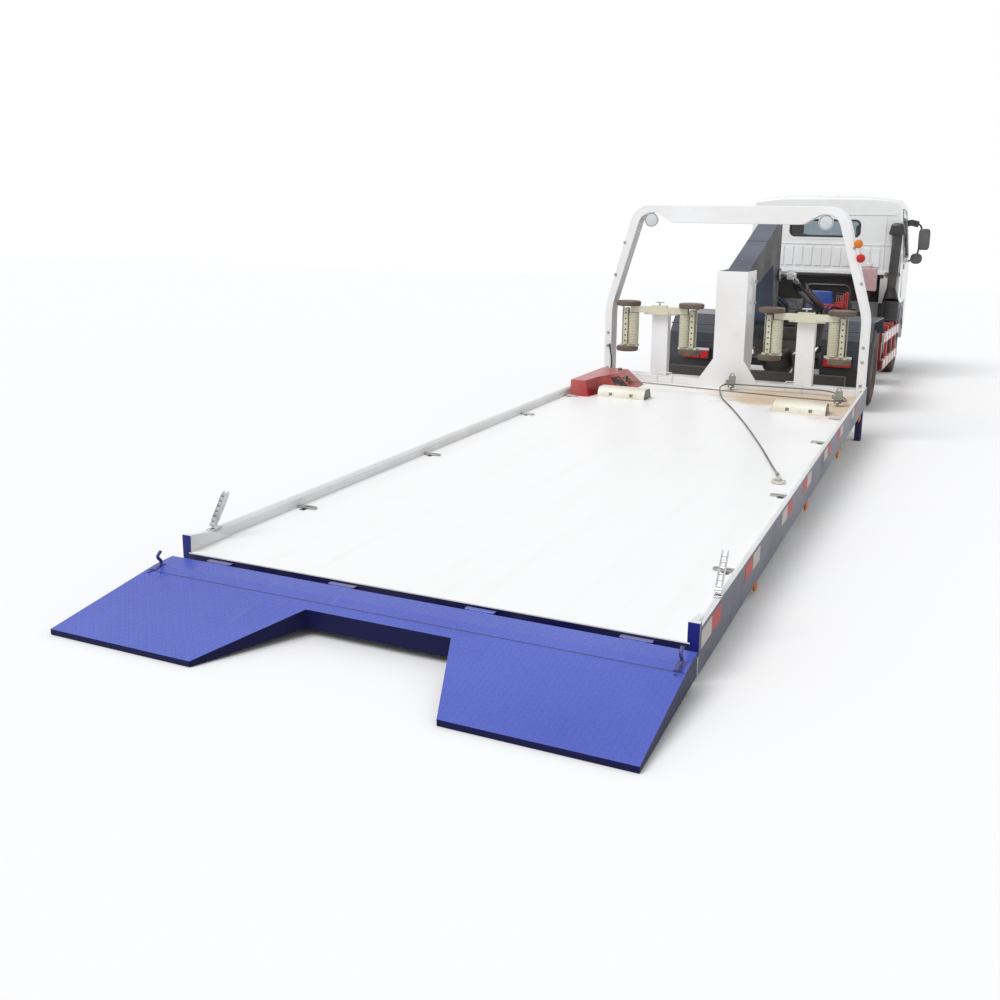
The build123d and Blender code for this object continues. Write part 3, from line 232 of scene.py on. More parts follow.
def enamel(name, colour, dust=(0.42, 0.37, 0.30), soiled=0.35, rough=(0.28, 0.55), low_dust=0.0, metal=0.0):
    """Sprayed paint: dust lies in patches over the colour, thicker towards the ground where asked,
    and dulls the gloss; the coat has a faint orange-peel relief."""
    material, shader, place = new_finish(name)
    patches = times(clouds(place, 0.55, 0.42, 0.78, 6), soiled)
    soil = larger(patches, times(clouds(place, 0.035, 0.56, 0.80, 5), soiled))
    if low_dust:
        low = ranged(axis_of(place, "Z"), low_dust, 0.0)
        soil = larger(soil, times(times(low, clouds(place, 0.18, 0.25, 0.75, 6)), 0.85))
    shade = blended(clouds(place, 1.3, 0.35, 0.7), colour, tuple(part * 0.93 for part in colour))
    give(shader, {"Base Color": blended(soil, shade, dust), "Roughness": ranged(soil, 0.0, 0.6, *rough),
                  "Coat Weight": 0.15, "Coat Roughness": 0.12, "Metallic": metal})
    raised(shader, clouds(place, 0.006, 0.2, 0.8, 2), 0.0002, 0.25)
    return material


def rides_with(piece, node):
    """The piece moves with the body that a node belongs to."""
    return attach(piece, nodes[node]["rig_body"])


def rounded(piece, width, segments=2, sharp=34):
    """Edges that turn by more than an angle in degrees are rounded by a width."""
    rounding = piece.modifiers.new("rounding", "BEVEL")
    rounding.width, rounding.segments, rounding.harden_normals = width, segments, True
    rounding.limit_method, rounding.angle_limit = "ANGLE", np.radians(sharp)


def softened(node, width, material, segments=2):
    """A node's solid with its corners merged, its flat faces joined and its sharp edges rounded by
    a width; it stands for the node and moves with it."""
    shape = bmesh.new()
    shape.from_mesh(nodes[node].data)
    bmesh.ops.remove_doubles(shape, verts=shape.verts, dist=2e-5)
    bmesh.ops.dissolve_limit(shape, angle_limit=0.004, verts=shape.verts, edges=shape.edges)
    mesh = bpy.data.meshes.new(node + "_dressed")
    shape.to_mesh(mesh)
    shape.free()
    mesh.polygons.foreach_set("use_smooth", np.ones(len(mesh.polygons), bool))
    mesh.set_sharp_from_angle(angle=np.radians(32))
    mesh.materials.append(material)
    piece = bpy.data.objects.new(node + "_dressed", mesh)
    scene.collection.objects.link(piece)
    rounded(piece, width, segments)
    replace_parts(piece, node)
    return rides_with(piece, node)


def painted_over(node, material):
    """A node whose own mesh stays, with its finish set."""
    mesh = nodes[node].data
    mesh.materials.clear()
    mesh.materials.append(material)


def deck_paint():
    """White enamel with pale streaks along Y, tyre scuffs, and dry earth that fades out behind the
    headboard: from 4.6 m on the right, and only a trace of it on the left."""
    material, shader, place = new_finish("deck_enamel")
    x, y = axis_of(place, "X"), axis_of(place, "Y")
    streaks = clouds(stretched(place, (0.12, 2.4, 0.4)), 1.0, 0.50, 0.80, 6)
    worn = times(larger(streaks, clouds(place, 0.9, 0.52, 0.80, 6)), 0.16)
    shade = blended(worn, (0.93, 0.93, 0.93), (0.68, 0.67, 0.64))
    wave = times(clouds(place, 0.22, 0.2, 0.8, 6), 0.55)
    earth = ranged(plus(plus(y, times(x, 0.50)), wave), -1.00, -0.72)
    grain = clouds(place, 0.05, 0.25, 0.75, 8)
    earth = times(earth, ranged(grain, 0.0, 0.5, 0.45, 0.95))
    earth = times(earth, ranged(x, -0.15, 0.25, 0.15, 1.0))
    soil = blended(grain, (0.55, 0.40, 0.26), (0.68, 0.54, 0.38))
    give(shader, {"Base Color": blended(earth, shade, soil), "Roughness": ranged(earth, 0.0, 1.0, 0.36, 0.9)})
    raised(shader, plus(clouds(place, 0.30, 0.3, 0.7, 3), times(grain, 0.2)), 0.0012, 0.35)
    return material


painted_over("deck", deck_paint())

# Side rails of the bed: white box section inside and on top, slate outside, with royal blue end
# posts. Red and white reflecting tapes are stuck along the top of the outer face.
white_paint, slate_paint, royal_paint = (0.84, 0.845, 0.85), (0.050, 0.053, 0.095), (0.016, 0.020, 0.19)


def coat_of(material):
    """The shader of a painted material, its points' place and the colour that it has so far."""
    parts = material.node_tree.nodes
    shader = parts["Principled BSDF"]
    coat = shader.inputs["Base Color"].links[0].from_socket
    return shader, parts["Texture Coordinate"].outputs["Object"], coat


def beyond(value, edge):
    """0 where a value, taken without its sign, is below an edge, and 1 above it."""
    return combined("GREATER_THAN", combined("ABSOLUTE", value), edge)


def rail_paint():
    """White enamel; slate where X passes the outer face, royal blue on the rear posts."""
    material = enamel("rail_enamel", white_paint)
    shader, place, coat = coat_of(material)
    dull = blended(clouds(place, 0.25, 0.35, 0.75, 6), slate_paint, (0.085, 0.085, 0.13))
    sided = blended(beyond(axis_of(place, "X"), 1.1495), coat, dull)
    behind = combined("LESS_THAN", axis_of(place, "Y"), bed_rear[1] + 0.002)
    give(shader, {"Base Color": blended(behind, sided, royal_paint), "Coat Weight": 0.0,
                  "Specular IOR Level": 0.2})
    return material


softened("side_rails", 0.003, rail_paint())


def slabs(name, boxes, material, node, rounding=0.002):
    """Bars and plates as one mesh: each box is given by two opposite corners, set in place by its
    node, and its edges are rounded."""
    boxes = np.sort(np.array(boxes, float), axis=1)
    pick = np.array([(i, j, k) for i in (0, 1) for j in (0, 1) for k in (0, 1)])
    points = np.stack([boxes[:, pick[:, axis], axis] for axis in range(3)], -1)
    quads = np.array([(0, 1, 3, 2), (4, 6, 7, 5), (0, 4, 5, 1), (2, 3, 7, 6), (0, 2, 6, 4), (1, 5, 7, 3)])
    faces = (quads[None] + 8 * np.arange(len(boxes))[:, None, None]).reshape(-1, 4)
    mesh = bpy.data.meshes.new(name)
    mesh.from_pydata(seated(points, node).reshape(-1, 3).tolist(), [], faces.tolist())
    return finished(name, mesh, material, node, rounding)


def finished(name, mesh, material, node, rounding=0.0):
    """A mesh as a piece that moves with a node, its sharp edges rounded where asked."""
    mesh.materials.append(material)
    piece = bpy.data.objects.new(name, mesh)
    scene.collection.objects.link(piece)
    if rounding:
        mesh.polygons.foreach_set("use_smooth", np.ones(len(mesh.polygons), bool))
        rounded(piece, rounding)
    return rides_with(piece, node)


def reflector(name, colour):
    """Reflecting tape or a ribbed lens: a glossy colour over a fine honeycomb of cells."""
    material, shader, place = new_finish(name)
    cells = made(place.id_data, "TexVoronoi", {"Scale": 240, "Vector": place}, "Distance")
    deep = tuple(part * 0.62 for part in colour)
    give(shader, {"Base Color": blended(cells, colour, deep), "Roughness": 0.45, "Specular IOR Level": 0.3})
    raised(shader, cells, 0.0006, 0.5)
    return material


red_tape, pale_tape = reflector("red_tape", (0.55, 0.05, 0.035)), reflector("pale_tape", (0.60, 0.55, 0.52))
pale_starts = (0.03, 0.92, 1.62, 2.42, 3.10, 3.90, 4.60)
red_starts = (0.18, 0.76, 1.77, 2.27, 3.25, 3.75, 4.75)
tape_inner, tape_outer, tape_length, tape_foot, tape_top = 1.1496, 1.1508, 0.15, -0.030, 0.040
for name, side in both_sides:
    for colour, material, starts in (("pale", pale_tape, pale_starts), ("red", red_tape, red_starts)):
        slabs("rail_tapes_%s_%s" % (colour, name),
              [((side * tape_inner, start, tape_foot), (side * tape_outer, start + tape_length, tape_top))
               for start in starts], material, "side_rails", 0.0)

# Rear cross beam: navy steel with hinge lugs for the tail ramp, bright blue and worn where the ramp's
# knuckles turn, and two rollers that the bed stands on.
navy_paint, deep_navy = (0.012, 0.014, 0.10), (0.006, 0.007, 0.050)
softened("rear_beam", 0.003, enamel("navy_enamel", navy_paint, dust=(0.20, 0.17, 0.14), soiled=0.30))
worn_steel = enamel("worn_lugs", (0.11, 0.14, 0.44), dust=(0.36, 0.27, 0.19), soiled=0.9, rough=(0.4, 0.7),
                    metal=0.8)
slabs("hinge_wear_plates", [((place - 0.062, -0.0335, -0.0115), (place + 0.062, -0.012, -0.0085))
                            for place in (-0.93, -0.31, 0.31, 0.93)], worn_steel, "rear_beam")

# Tail ramp: a wedge of chequer plate in royal blue, open underneath, with navy side walls. Its two
# tongues reach the ground; hooks at its outer corners hold it folded up on the road.


def chequer_paint():
    """Blue enamel over raised lozenges, 24 mm by 7 mm on squares of 31 mm, set slantwise: one leans
    left and the next, half a square on, leans right. Walls that face sideways are navy and plain."""
    material, shader, place = new_finish("chequer_enamel")
    x, y = axis_of(place, "X"), axis_of(place, "Y")
    pitch, lozenges = 0.031, []
    for ways, shift in ((("ADD", "SUBTRACT"), 0.0), (("SUBTRACT", "ADD"), 0.5)):
        rounds = []
        for way, share in zip(ways, (2.6, 9.0)):
            within = combined("FRACT", plus(times(combined(way, x, y), 0.7071 / pitch), shift))
            from_middle = combined("ABSOLUTE", combined("SUBTRACT", within, 0.5))
            rounds.append(combined("POWER", times(from_middle, share), 2.0))
        lozenges.append(ranged(plus(*rounds), 1.0, 0.35))
    relief = larger(*lozenges)
    shade = blended(clouds(place, 0.8, 0.3, 0.75), (0.048, 0.082, 0.47), (0.072, 0.115, 0.54))
    scuffs = times(clouds(stretched(place, (0.05, 0.5, 0.5)), 1.0, 0.62, 0.85, 6), 0.25)
    facing = place.node.outputs["Normal"]
    upright = ranged(axis_of(facing, "Z"), 0.55, 0.75)
    top = blended(scuffs, shade, (0.22, 0.26, 0.48))
    give(shader, {"Base Color": blended(upright, deep_navy, top), "Coat Weight": times(upright, 0.15),
                  "Specular IOR Level": ranged(upright, 0.0, 1.0, 0.12, 0.5),
                  "Roughness": ranged(relief, 0.0, 1.0, 0.46, 0.33)})
    raised(shader, times(relief, upright), 0.0022, 0.8)
    return material


softened("tail_ramp", 0.003, chequer_paint())
royal_enamel = enamel("royal_enamel", royal_paint, soiled=0.15)
slabs("ramp_plate_seam", [((-1.157, -0.2065, -0.0205), (1.157, -0.2035, -0.0176))],
      enamel("seam_navy", deep_navy, soiled=0.1), "tail_ramp", 0.0)


def swept(path, wide, high=None, sides=10, across=(0, 0, 1), power=2.0):
    """A grid of rings along a path: each ring is an oval of the given half sizes, squarer for a
    higher power, set square to the path with one axis kept near the direction 'across'."""
    path = np.asarray(path, float)
    ahead = np.gradient(path, axis=0)
    ahead /= np.linalg.norm(ahead, axis=1, keepdims=True)
    up = np.broadcast_to(np.asarray(across, float), path.shape)
    up = up - (up * ahead).sum(1, keepdims=True) * ahead
    up /= np.linalg.norm(up, axis=1, keepdims=True)
    out = np.cross(ahead, up)
    wide, high = (np.broadcast_to(np.asarray(size, float), (len(path),))[:, None, None]
                  for size in (wide, wide if high is None else high))
    turn = np.linspace(0, 2 * np.pi, sides, endpoint=False)
    x = np.sign(np.cos(turn)) * np.abs(np.cos(turn)) ** (2 / power)
    y = np.sign(np.sin(turn)) * np.abs(np.sin(turn)) ** (2 / power)
    return path[:, None] + x[None, :, None] * wide * out[:, None] + y[None, :, None] * high * up[:, None]


def hooped(line, *shape):
    """A closed line swept as one ring, with no seam where its ends meet."""
    return swept(np.concatenate((line[-2:], line, line[:2])), *shape)[2:-2]


def bent(points, radius, steps=6):
    """A path through points whose corners are rounded: each corner becomes a curve that starts a
    radius before it and ends a radius after it."""
    points = np.asarray(points, float)
    way = [points[:1]]
    share = np.linspace(0, 1, steps)[:, None]
    for before, here, after in zip(points, points[1:], points[2:]):
        start = here + (before - here) * min(0.49, radius / np.linalg.norm(before - here))
        end = here + (after - here) * min(0.49, radius / np.linalg.norm(after - here))
        way.append((1 - share) ** 2 * start + 2 * share * (1 - share) * here + share ** 2 * end)
    way.append(points[-1:])
    return np.concatenate(way)


def skinned(name, grids, material, node, closed=False, smooth=True):
    """Grids of rings as one mesh, set in place by its node: four-sided faces between rings, and a
    face over each open end."""
    points, faces, start = [], [], 0
    for grid in grids:
        rings, sides = grid.shape[:2]
        spans = rings if closed else rings - 1
        ring = np.arange(spans)[:, None] * sides
        following = (np.arange(spans)[:, None] + 1) % rings * sides
        side, beside = np.arange(sides)[None], (np.arange(sides)[None] + 1) % sides
        quads = np.stack((ring + side, ring + beside, following + beside, following + side), -1)
        faces += (quads.reshape(-1, 4) + start).tolist()
        if not closed:
            faces.append((np.arange(sides)[::-1] + start).tolist())
            faces.append((np.arange(sides) + start + (rings - 1) * sides).tolist())
        points.append(grid.reshape(-1, 3))
        start += rings * sides
    mesh = bpy.data.meshes.new(name)
    mesh.from_pydata(seated(np.concatenate(points), node).tolist(), [], faces)
    mesh.polygons.foreach_set("use_smooth", np.full(len(mesh.polygons), smooth))
    mesh.set_sharp_from_angle(angle=np.radians(40))
    shape = bmesh.new()
    shape.from_mesh(mesh)
    bmesh.ops.recalc_face_normals(shape, faces=shape.faces)
    shape.to_mesh(mesh)
    shape.free()
    return finished(name, mesh, material, node)


for name, side in both_sides:
    x = side * 1.130
    hook = bent([(x, -0.225, -0.024), (x, -0.170, -0.022), (x, -0.145, 0.004), (x, -0.175, 0.030),
                 (x, -0.150, 0.050)], 0.02)
    base = [(x, -0.20, -0.0205), (x, -0.14, -0.0115)]
    skinned("ramp_latch_" + name, [swept(hook, 0.007, across=(1, 0, 0)), swept(base, 0.016, 0.006, power=6)],
            royal_enamel, "tail_ramp")

# Gantry and headboard: a folded white steel frame over the front of the bed. Its crossbar steps
# down between the work lamps, and two box stools on the headboard beam carry the wheel dollies.
gantry_enamel = enamel("gantry_enamel", white_paint, dust=(0.55, 0.50, 0.42), soiled=0.28)
gantry_rear, gantry_front = 5.425, 5.575


def unit(vector):
    """A vector's direction, one metre long."""
    return vector / np.linalg.norm(vector)


def rounded_outline(corners, radii, steps=9):
    """A line through corners in a plane, each corner an arc of its own radius."""
    corners = np.array(corners, float)
    line = [corners[:1]]
    for before, here, after, radius in zip(corners, corners[1:], corners[2:], radii):
        one, two = unit(before - here), unit(after - here)
        half = np.arccos(np.clip(one @ two, -1, 1)) / 2
        reach = radius / np.tan(half)
        middle = here + unit(one + two) * radius / np.sin(half)
        start, end = here + one * reach - middle, here + two * reach - middle
        turn = np.linspace(0, 1, steps)[:, None]
        sweep = np.arccos(np.clip(start @ end / radius ** 2, -1, 1))
        line.append(middle + (start * np.sin((1 - turn) * sweep)
            + end * np.sin(turn * sweep)) / np.sin(sweep))
    line.append(corners[-1:])
    return np.concatenate(line)


def evenly(line, count):
    """A line's points moved to even steps along it."""
    along = np.concatenate(([0], np.linalg.norm(np.diff(line, axis=0), axis=1).cumsum()))
    stops = np.linspace(0, along[-1], count)
    return np.stack([np.interp(stops, along, line[:, axis]) for axis in range(line.shape[1])], -1)


half_outer = rounded_outline([(1.15, 0.055), (1.15, 0.67), (0.90, 1.56), (0, 1.56)], (0.5, 0.17))
half_inner = rounded_outline([(1.084, 0.055), (1.084, 0.665), (0.835, 1.494), (0.70, 1.494), (0.56, 1.41),
    (0, 1.41)], (0.5, 0.12, 0.07, 0.09))
outer_line, inner_line = evenly(half_outer, 90), evenly(half_inner, 90)
outer_line = np.concatenate((outer_line, outer_line[-2::-1] * (-1, 1)))
inner_line = np.concatenate((inner_line, inner_line[-2::-1] * (-1, 1)))
rails = [np.insert(line, 1, y, axis=1) for line, y in ((outer_line, gantry_rear), (outer_line, gantry_front),
                                                       (inner_line, gantry_front), (inner_line, gantry_rear))]
arch = skinned("gantry_arch", [np.stack(rails, 1)], gantry_enamel, "gantry")
rounded(arch, 0.006, 3, 50)
stool_x, stool_rear, stool_front = 0.64, 5.455, 5.545
headboard = [((-1.084, gantry_rear, 0), (1.084, gantry_front, 0.062))]
for side in (-1, 1):
    headboard.append(((side * 1.084, gantry_rear, 0), (side * 1.117, gantry_front, 0.06)))
    headboard.append(((side * stool_x - 0.075, stool_rear, 0.062),
        (side * stool_x + 0.075, stool_front, 0.60)))
    headboard.append(((side * stool_x - 0.15, stool_rear, 0.60), (side * stool_x + 0.15, stool_front, 0.62)))
slabs("headboard_and_stools", headboard, gantry_enamel, "gantry", 0.004)
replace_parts(arch, "gantry")

zinc = enamel("zinc_bolts", (0.42, 0.42, 0.40), dust=(0.20, 0.16, 0.12), soiled=0.6, rough=(0.25, 0.5),
    metal=0.8)


def turned(profile, base, axis=(0, 0, 1), sides=24):
    """A grid turned round an axis: each (radius, height) of the profile becomes one ring. A profile
    that starts and ends at the tip radius makes a closed body."""
    profile, base, axis = np.asarray(profile, float), np.asarray(base, float), np.asarray(axis, float)
    axis = unit(axis)
    helper = np.array((1.0, 0, 0)) if abs(axis[0]) < 0.8 else np.array((0, 1.0, 0))
    one = unit(np.cross(axis, helper))
    two = np.cross(axis, one)
    turn = np.linspace(0, 2 * np.pi, sides, endpoint=False)[None, :, None]
    ring = np.cos(turn) * one + np.sin(turn) * two
    return base + profile[:, 1, None, None] * axis + profile[:, 0, None, None] * ring


tip = 0.0005


def collar(bore, radius, low, high, base, axis=(0, 0, 1), sides=24):
    """A grid for a plain collar about an axis, from a low to a high place along it."""
    return turned([(bore, low), (radius, low), (radius, high), (bore, high)], base, axis, sides)


def drum(*shape):
    """A grid for a plain cylinder: a collar whose bore is only as wide as a needle's tip."""
    return collar(tip, *shape)


def bolt_heads(name, places, axis, radius, node):
    """Hexagon heads on washers, each standing out along the axis."""
    washer = [(tip, -0.002), (radius * 1.5, -0.002), (radius * 1.5, 0.002), (tip, 0.002)]
    head = [(tip, 0.001), (radius, 0.001), (radius, radius * 0.8), (radius * 0.8, radius), (tip, radius)]
    grids = [turned(washer, place, axis, 14) for place in places] + [turned(head, place, axis, 6)
        for place in places]
    return skinned(name, grids, zinc, node, smooth=False)


bolt_heads("gantry_bolts", [(side * x, gantry_rear - 0.001, z) for side in (-1, 1)
    for x, z in ((0.985, 1.23), (1.062, 0.945), (1.117, 0.42), (1.117, 0.30), (1.117, 0.10))], (0, -1, 0),
    0.009, "gantry")
hoops = []
for middle in (-0.64, 0.50):
    hoops.append(swept(bent([(middle, gantry_rear - 0.004, 0.0), (middle, gantry_rear - 0.006, 0.095),
        (middle + 0.14, gantry_rear - 0.006, 0.095), (middle + 0.14, gantry_rear - 0.004, 0.0)], 0.018),
        0.0035, across=(0, 1, 0), sides=8))
skinned("headboard_hoops", hoops, gantry_enamel, "gantry")

# Winch rope: 11 mm wire rope of six strands, pulled tight from the winch box to the corner block and
# back to the block at the column's foot, then lying slack over the deck to its hook: 6.32 m in all.
rope_route = on_bed([
    (-0.810, 5.015, 0.058), (1.035, 4.868, 0.046), (1.068, 4.990, 0.046), (1.012, 5.140, 0.046),
    (0.958, 5.262, 0.046), (0.880, 5.376, 0.046), (0.758, 5.402, 0.046), (0.150, 5.362, 0.046),
    (0.020, 5.350, 0.045), (-0.016, 5.234, 0.040), (0.008, 5.108, 0.024), (0.044, 4.990, 0.011),
    (0.076, 4.888, 0.007), (0.113, 4.790, 0.007), (0.179, 4.640, 0.007), (0.243, 4.490, 0.007),
    (0.303, 4.345, 0.007), (0.361, 4.200, 0.007), (0.420, 4.050, 0.007), (0.478, 3.900, 0.007),
    (0.532, 3.755, 0.007), (0.587, 3.605, 0.007), (0.641, 3.455, 0.007), (0.693, 3.310, 0.007),
    (0.746, 3.160, 0.007), (0.795, 3.015, 0.007), (0.845, 2.865, 0.007), (0.894, 2.715, 0.008),
    (0.941, 2.570, 0.012), (0.985, 2.440, 0.016)])
rope_line = bpy.data.curves.new("rope_line", "CURVE")
rope_line.dimensions, rope_line.resolution_u = "3D", 16
spline = rope_line.splines.new("NURBS")
spline.points.add(len(rope_route) - 1)
spline.points.foreach_set("co", np.insert(rope_route, 3, 1, axis=1).ravel())
spline.order_u, spline.use_endpoint_u = 3, True
line_holder = bpy.data.objects.new("rope_line", rope_line)
line_mesh = bpy.data.meshes.new_from_object(line_holder)
rope_points = np.empty(len(line_mesh.vertices) * 3)
line_mesh.vertices.foreach_get("co", rope_points)
rope_points = evenly(rope_points.reshape(-1, 3), 800)
bpy.data.objects.remove(line_holder)
bpy.data.curves.remove(rope_line)
bpy.data.meshes.remove(line_mesh)

strand_lay, strand_count, rope_radius, groove = 0.075, 6, 0.0056, 0.0010
along = np.insert(np.linalg.norm(np.diff(rope_points, axis=0), axis=1).cumsum(), 0, 0)
ahead_here = np.gradient(rope_points, axis=0)
ahead_here /= np.linalg.norm(ahead_here, axis=1, keepdims=True)
beside = np.cross(ahead_here, (0, 0, 1))
beside /= np.linalg.norm(beside, axis=1, keepdims=True)
above = np.cross(beside, ahead_here)
angle = np.linspace(0, 2 * np.pi, 6 * strand_count, endpoint=False)[None, :]
lobe = np.abs(np.cos(strand_count / 2 * (angle - along[:, None] / strand_lay * 2 * np.pi)))
reach = (rope_radius - groove + groove * lobe)[..., None]
strands = rope_points[:, None] + reach * (np.cos(angle)[..., None] * beside[:, None]
                                          + np.sin(angle)[..., None] * above[:, None])
wire = enamel("greased_wire", (0.20, 0.185, 0.165), dust=(0.10, 0.07, 0.05), soiled=0.8,
    rough=(0.35, 0.6), metal=0.7)
rope = skinned("winch_rope_strands", [strands], wire, "winch_rope")
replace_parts(rope, "winch_rope")

# Hook at the rope's end: a forged hook lying on its side, painted a pale colour that has worn to
# brown metal, with a safety latch across its mouth and a pressed sleeve on the rope.
hook_paint = enamel("hook_paint", (0.66, 0.62, 0.55), dust=(0.20, 0.10, 0.05), soiled=1.0, rough=(0.4, 0.7))
bowl_turn = np.radians(np.linspace(90, 362, 26))
bowl = np.stack((1.007 + 0.037 * np.cos(bowl_turn), 2.340 + 0.037 * np.sin(bowl_turn),
    np.full(26, 0.009)), -1)
shank = np.array([(0.986, 2.438, 0.0155), (0.993, 2.418, 0.013), (1.000, 2.396, 0.010)])
hook_path = evenly(np.concatenate((shank, bowl)), 40)
hook_width = np.interp(np.linspace(0, 1, 40), (0, 0.15, 0.3, 0.6, 0.85, 1),
    (0.006, 0.007, 0.0085, 0.0088, 0.007, 0.003))
hook = skinned("winch_hook", [swept(on_bed(hook_path), hook_width, hook_width, 14, (0, 0, 1), 2.6)],
               hook_paint, "rope_hook")
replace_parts(hook, "rope_hook")
latch = skinned("hook_latch", [swept(on_bed([(1.006, 2.372, 0.013), (1.024, 2.362, 0.013),
    (1.040, 2.350, 0.012)]), 0.004, 0.002, power=4)], zinc, "rope_hook")
sleeve = skinned("rope_sleeve",
    [turned([(tip, 0), (0.009, 0), (0.0102, 0.004), (0.0102, 0.056), (0.009, 0.06), (tip, 0.06)],
    rope_points[-4], rope_points[-14] - rope_points[-4], 18)], zinc, "rope_hook")

# Lift column: a white channel with a flared foot on the headboard, whose cheeks hold the arm's pin.
# The ends of two cross pins stand out of each cheek.
softened("lift_column", 0.004, gantry_enamel)
bolt_heads("column_pin_caps", [(side * 0.158, 5.62, z) for side in (-1, 1) for z in (0.92, 0.736)],
           (1, 0, 0), 0.014, "lift_column")

# Wheel dollies: cream frames that hang on the stools, each with two ribbed rollers in perforated
# channels, four thick brown discs, a screw clamp with a T handle and two bent steadying rods.
cream = enamel("cream_enamel", (0.66, 0.64, 0.50), dust=(0.40, 0.33, 0.22), soiled=0.55, rough=(0.4, 0.7))
rubber_brown = enamel("brown_rubber", (0.085, 0.055, 0.04), dust=(0.25, 0.20, 0.15), soiled=0.5,
    rough=(0.6, 0.85))
# Black for the painted shade in holes, slots and openings, and for the black lamp conduit.
hole_shade_and_conduit_black = enamel("shaded_hole", (0.012, 0.012, 0.012), soiled=0.1)
dolly_y, dolly_rear, dolly_face, roller_foot, beam_foot, beam_top = 5.427, 5.399, 5.455, 0.33, 0.62, 0.676
disc = [(tip, 0), (0.090, 0), (0.097, 0.006), (0.098, 0.021), (0.097, 0.036), (0.090, 0.042),
    (0.030, 0.042), (0.028, 0.0415), (tip, 0.0415)]
ribs = [(tip, 0.002)]
for step in range(20):
    low = 0.002 + step * 0.0143
    ribs += [(0.0415, low), (0.0475, low + 0.003), (0.0475, low + 0.0095), (0.0415, low + 0.0125)]
ribs.append((tip, ribs[-1][1]))
for name, middle in (("left", -stool_x), ("right", stool_x)):
    node = "dolly_" + name
    bars = [((middle - 0.263, dolly_rear, beam_foot), (middle + 0.263, dolly_face, beam_top)),
            ((middle - 0.15, dolly_y, beam_foot), (middle + 0.15, 5.5, 0.636)),
            ((middle - 0.09, dolly_rear - 0.006, 0.606), (middle + 0.09, dolly_rear, 0.640)),
            ((middle - 0.07, dolly_rear + 0.004, beam_top), (middle + 0.07, dolly_face, beam_top + 0.012))]
    holes, rollers, discs, rods = [], [], [], []
    for side in (-1, 1):
        arm = middle + side * 0.235
        for start, end, web in ((dolly_rear, dolly_face, 0.289), (dolly_rear, dolly_rear + 0.004, 0.325),
                (dolly_face - 0.004, dolly_face, 0.325)):
            bars.append(((middle + side * 0.283, start, 0.312), (middle + side * web, end, 0.655)))
        bars.append(((arm - side * 0.048, dolly_rear, 0.312),
            (middle + side * 0.354, dolly_face, roller_foot)))
        holes += [drum(0.0075, 0, 0.001, (middle + side * 0.305, dolly_rear - 0.0006, 0.36 + 0.05 * step),
            (0, -1, 0), 12) for step in range(6)]
        rollers.append(turned(ribs, (arm, dolly_y, roller_foot), (0, 0, 1), 28))
        for low, scale in ((0.27, 1.0), (beam_top, 1.14)):
            grown = [(radius * scale, height) for radius, height in disc]
            discs.append(turned(grown, (middle + side * 0.29, dolly_y, low), (0, 0, 1), 40))
        rod_x = middle + side * 0.340
        rods.append(swept(bent([(rod_x, dolly_y, 0.325), (rod_x, dolly_y, 0.645),
            (rod_x - side * 0.01, dolly_y, 0.662), (rod_x + side * 0.012, dolly_y, 0.668),
            (rod_x + side * 0.014, dolly_y, 0.67)], 0.02), 0.006, across=(0, 1, 0)))
    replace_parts(slabs(node + "_frame", bars, cream, node, 0.003), node)
    skinned(node + "_rollers", rollers, cream, node)
    # The channels' holes are thin black discs: painted shade.
    skinned(node + "_holes", holes, hole_shade_and_conduit_black, node, smooth=False)
    skinned(node + "_discs", discs, rubber_brown, node)
    rods.append(drum(0.008, 0, 0.045, (middle, dolly_y, beam_top), (0, 0, 1), 12))
    rods.append(swept([(middle - 0.038, dolly_y, 0.718), (middle, dolly_y, 0.718),
        (middle + 0.038, dolly_y, 0.718)], 0.007, across=(0, 1, 0)))
    skinned(node + "_rods", rods, zinc, node)

# Winch box: a red steel cover with sloping sides against the left rail; the rope leaves by a
# mouth between guide rollers, and an opening faces the rear: both are black plates of painted shade.
# A round plug closes its filler, and beside it the cable conduit of the gantry's lamps ends on the deck.
softened("winch_box", 0.008, enamel("winch_red", (0.40, 0.030, 0.030), dust=(0.50, 0.30, 0.24),
    soiled=0.55), 3)
# Painted shade: black plates in the winch mouth and in the rear opening.
slabs("winch_mouth_shade", [((-0.8095, 4.958, 0.022), (-0.800, 5.072, 0.094))], hole_shade_and_conduit_black, "winch_box", 0.0)
foot_a, foot_b, top_a, top_b = np.array([(-0.890, 4.680, 0), (-0.700, 4.930, 0), (-0.935, 4.690, 0.130),
                                         (-0.850, 4.945, 0.130)])
mouth_out = 0.002 * np.array((0.79, -0.60, 0.12))
window = [[(foot_a * (1 - t) + foot_b * t) * (1 - h) + (top_a * (1 - t) + top_b * t) * h + mouth_out * lift
           for t, h in ((0.52, 0.20), (0.93, 0.20), (0.93, 0.82), (0.52, 0.82))] for lift in (-1, 1)]
skinned("winch_rear_mouth_shade", [np.array(window)], hole_shade_and_conduit_black, "winch_box", smooth=False)
skinned("winch_guide_rollers", [drum(0.007, 0.021, 0.095, (-0.795, y, 0), (0, 0, 1), 14)
    for y in (4.968, 5.062)], zinc, "winch_box")
skinned("winch_filler_plug", [turned([(tip, 0.128), (0.02, 0.128), (0.02, 0.14), (0.012, 0.146),
    (tip, 0.146)], (-0.90, 5.15, 0), (0, 0, 1), 20)], rubber_brown, "winch_box")
skinned("lamp_conduit", [swept(bent([(-1.10, 5.418, 0.32), (-1.085, 5.414, 0.25), (-1.07, 5.412, 0.18),
    (-1.075, 5.408, 0.06), (-1.075, 5.408, 0.004)], 0.05), 0.007, across=(0, 1, 0))], hole_shade_and_conduit_black, "gantry")
